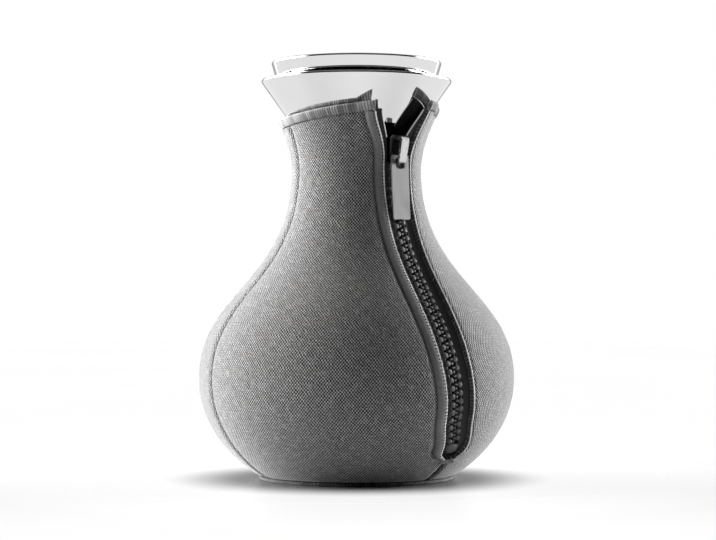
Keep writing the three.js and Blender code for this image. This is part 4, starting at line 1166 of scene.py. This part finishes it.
# Floor, light and camera
FLOOR_HALF = 3.0
# The floor glows at FLOOR_LIGHT away from the object; near the base its glow fades to nothing, a painted
# shadow
FLOOR_LIGHT = 0.72
SHADOW_START = 0.05
SHADOW_END = 0.095
SHEEN_END = 0.2


def floor():
    mesh = bpy.data.meshes.new("floor")
    half = FLOOR_HALF
    corners = [(-half, -half, 0), (half, -half, 0), (half, half, 0), (-half, half, 0)]
    mesh.from_pydata(corners, [], [(0, 1, 2, 3)])
    piece = bpy.data.objects.new("floor", mesh)
    scene.collection.objects.link(piece)
    graph = Graph(bpy.data.materials.new("glowing_floor_painted_shadow"))
    place = graph.place()
    cloud = graph.noise(place, 3.0)
    reach = graph.add("ShaderNodeVectorMath", {0: place}, operation="LENGTH").outputs["Value"]
    finish = graph.finish(
        Base_Color=graph.mix(cloud, grey(0.13), grey(0.15)),
        Roughness=graph.remap(cloud, 0.2, 0.8, 0.2, 0.24),
        Specular_IOR_Level=graph.remap(reach, SHADOW_START, SHEEN_END, 0.1, 0.0), Emission_Color=grey(1.0),
        # Painted shadow: the glow rises from nothing at SHADOW_START to full at SHADOW_END from the axis
        Emission_Strength=graph.remap(reach, SHADOW_START, SHADOW_END, 0.0, FLOOR_LIGHT),
    )
    mesh.materials.append(finish)


# Strength of each side of the studio
RIGHT_LIGHT = 40.0
LEFT_LIGHT = 46.0
BACK_LIGHT = 2.0
TOP_LIGHT = 0.25
FRONT_LIGHT = 0.02


def studio_world():
    """Strong soft light from both sides and behind, little from the front, and a white backdrop."""
    graph = Graph(bpy.data.worlds.new("studio"))
    scene.world = graph.owner
    graph.tree.nodes.clear()
    coordinates = graph.add("ShaderNodeTexCoord").outputs["Generated"]
    way = graph.add("ShaderNodeSeparateXYZ", {0: coordinates}).outputs
    low = graph.remap(way[2], 0.35, 0.6, 1.0, 0.0)
    beside_left = graph.math("MULTIPLY", graph.remap(way[1], -0.35, 0.15), low)
    beside_right = graph.math("MULTIPLY", graph.remap(way[1], -0.05, 0.4), low)
    right = graph.math("MULTIPLY", graph.remap(way[0], 0.5, 0.85, 0.0, RIGHT_LIGHT), beside_right)
    left = graph.math("MULTIPLY", graph.remap(way[0], -0.5, -0.85, 0.0, LEFT_LIGHT), beside_left)
    gap = graph.math("MULTIPLY", graph.remap(graph.math("ABSOLUTE", way[0]), 0.3, 0.75, 0.25, 1.0), low)
    back = graph.math("MULTIPLY", graph.remap(way[1], 0.1, 0.7, 0.0, BACK_LIGHT), gap)
    above = graph.remap(way[2], 0.6, 1.0, FRONT_LIGHT, FRONT_LIGHT + TOP_LIGHT)
    lit = graph.math("ADD", graph.math("ADD", right, left), graph.math("ADD", back, above))
    soft = graph.add("ShaderNodeBackground", {"Strength": lit})
    white = graph.add("ShaderNodeBackground", {"Strength": 1.0, "Color": grey(1.0)})
    choice = graph.add("ShaderNodeMixShader", {
        0: graph.add("ShaderNodeLightPath").outputs["Is Camera Ray"], 1: soft.outputs[0], 2: white.outputs[0],
    })
    graph.add("ShaderNodeOutputWorld", {0: choice.outputs[0]})


CAMERA_FOCAL_PIXELS = 2000.0
IMAGE_WIDTH = 716.0
CAMERA_DISTANCE = 0.956
CAMERA_HEIGHT = 0.085
CAMERA_SIDE = 0.0007
CAMERA_PITCH = math.radians(0.86)


def camera():
    data = bpy.data.cameras.new("camera")
    data.sensor_width = 36.0
    data.lens = CAMERA_FOCAL_PIXELS * data.sensor_width / IMAGE_WIDTH
    piece = bpy.data.objects.new("camera", data)
    piece.location = (CAMERA_SIDE, -CAMERA_DISTANCE, CAMERA_HEIGHT)
    piece.rotation_euler = (math.pi / 2 + CAMERA_PITCH, 0, 0)
    scene.collection.objects.link(piece)
    scene.camera = piece


floor()
studio_world()
camera()
scene.view_settings.view_transform = "Standard"
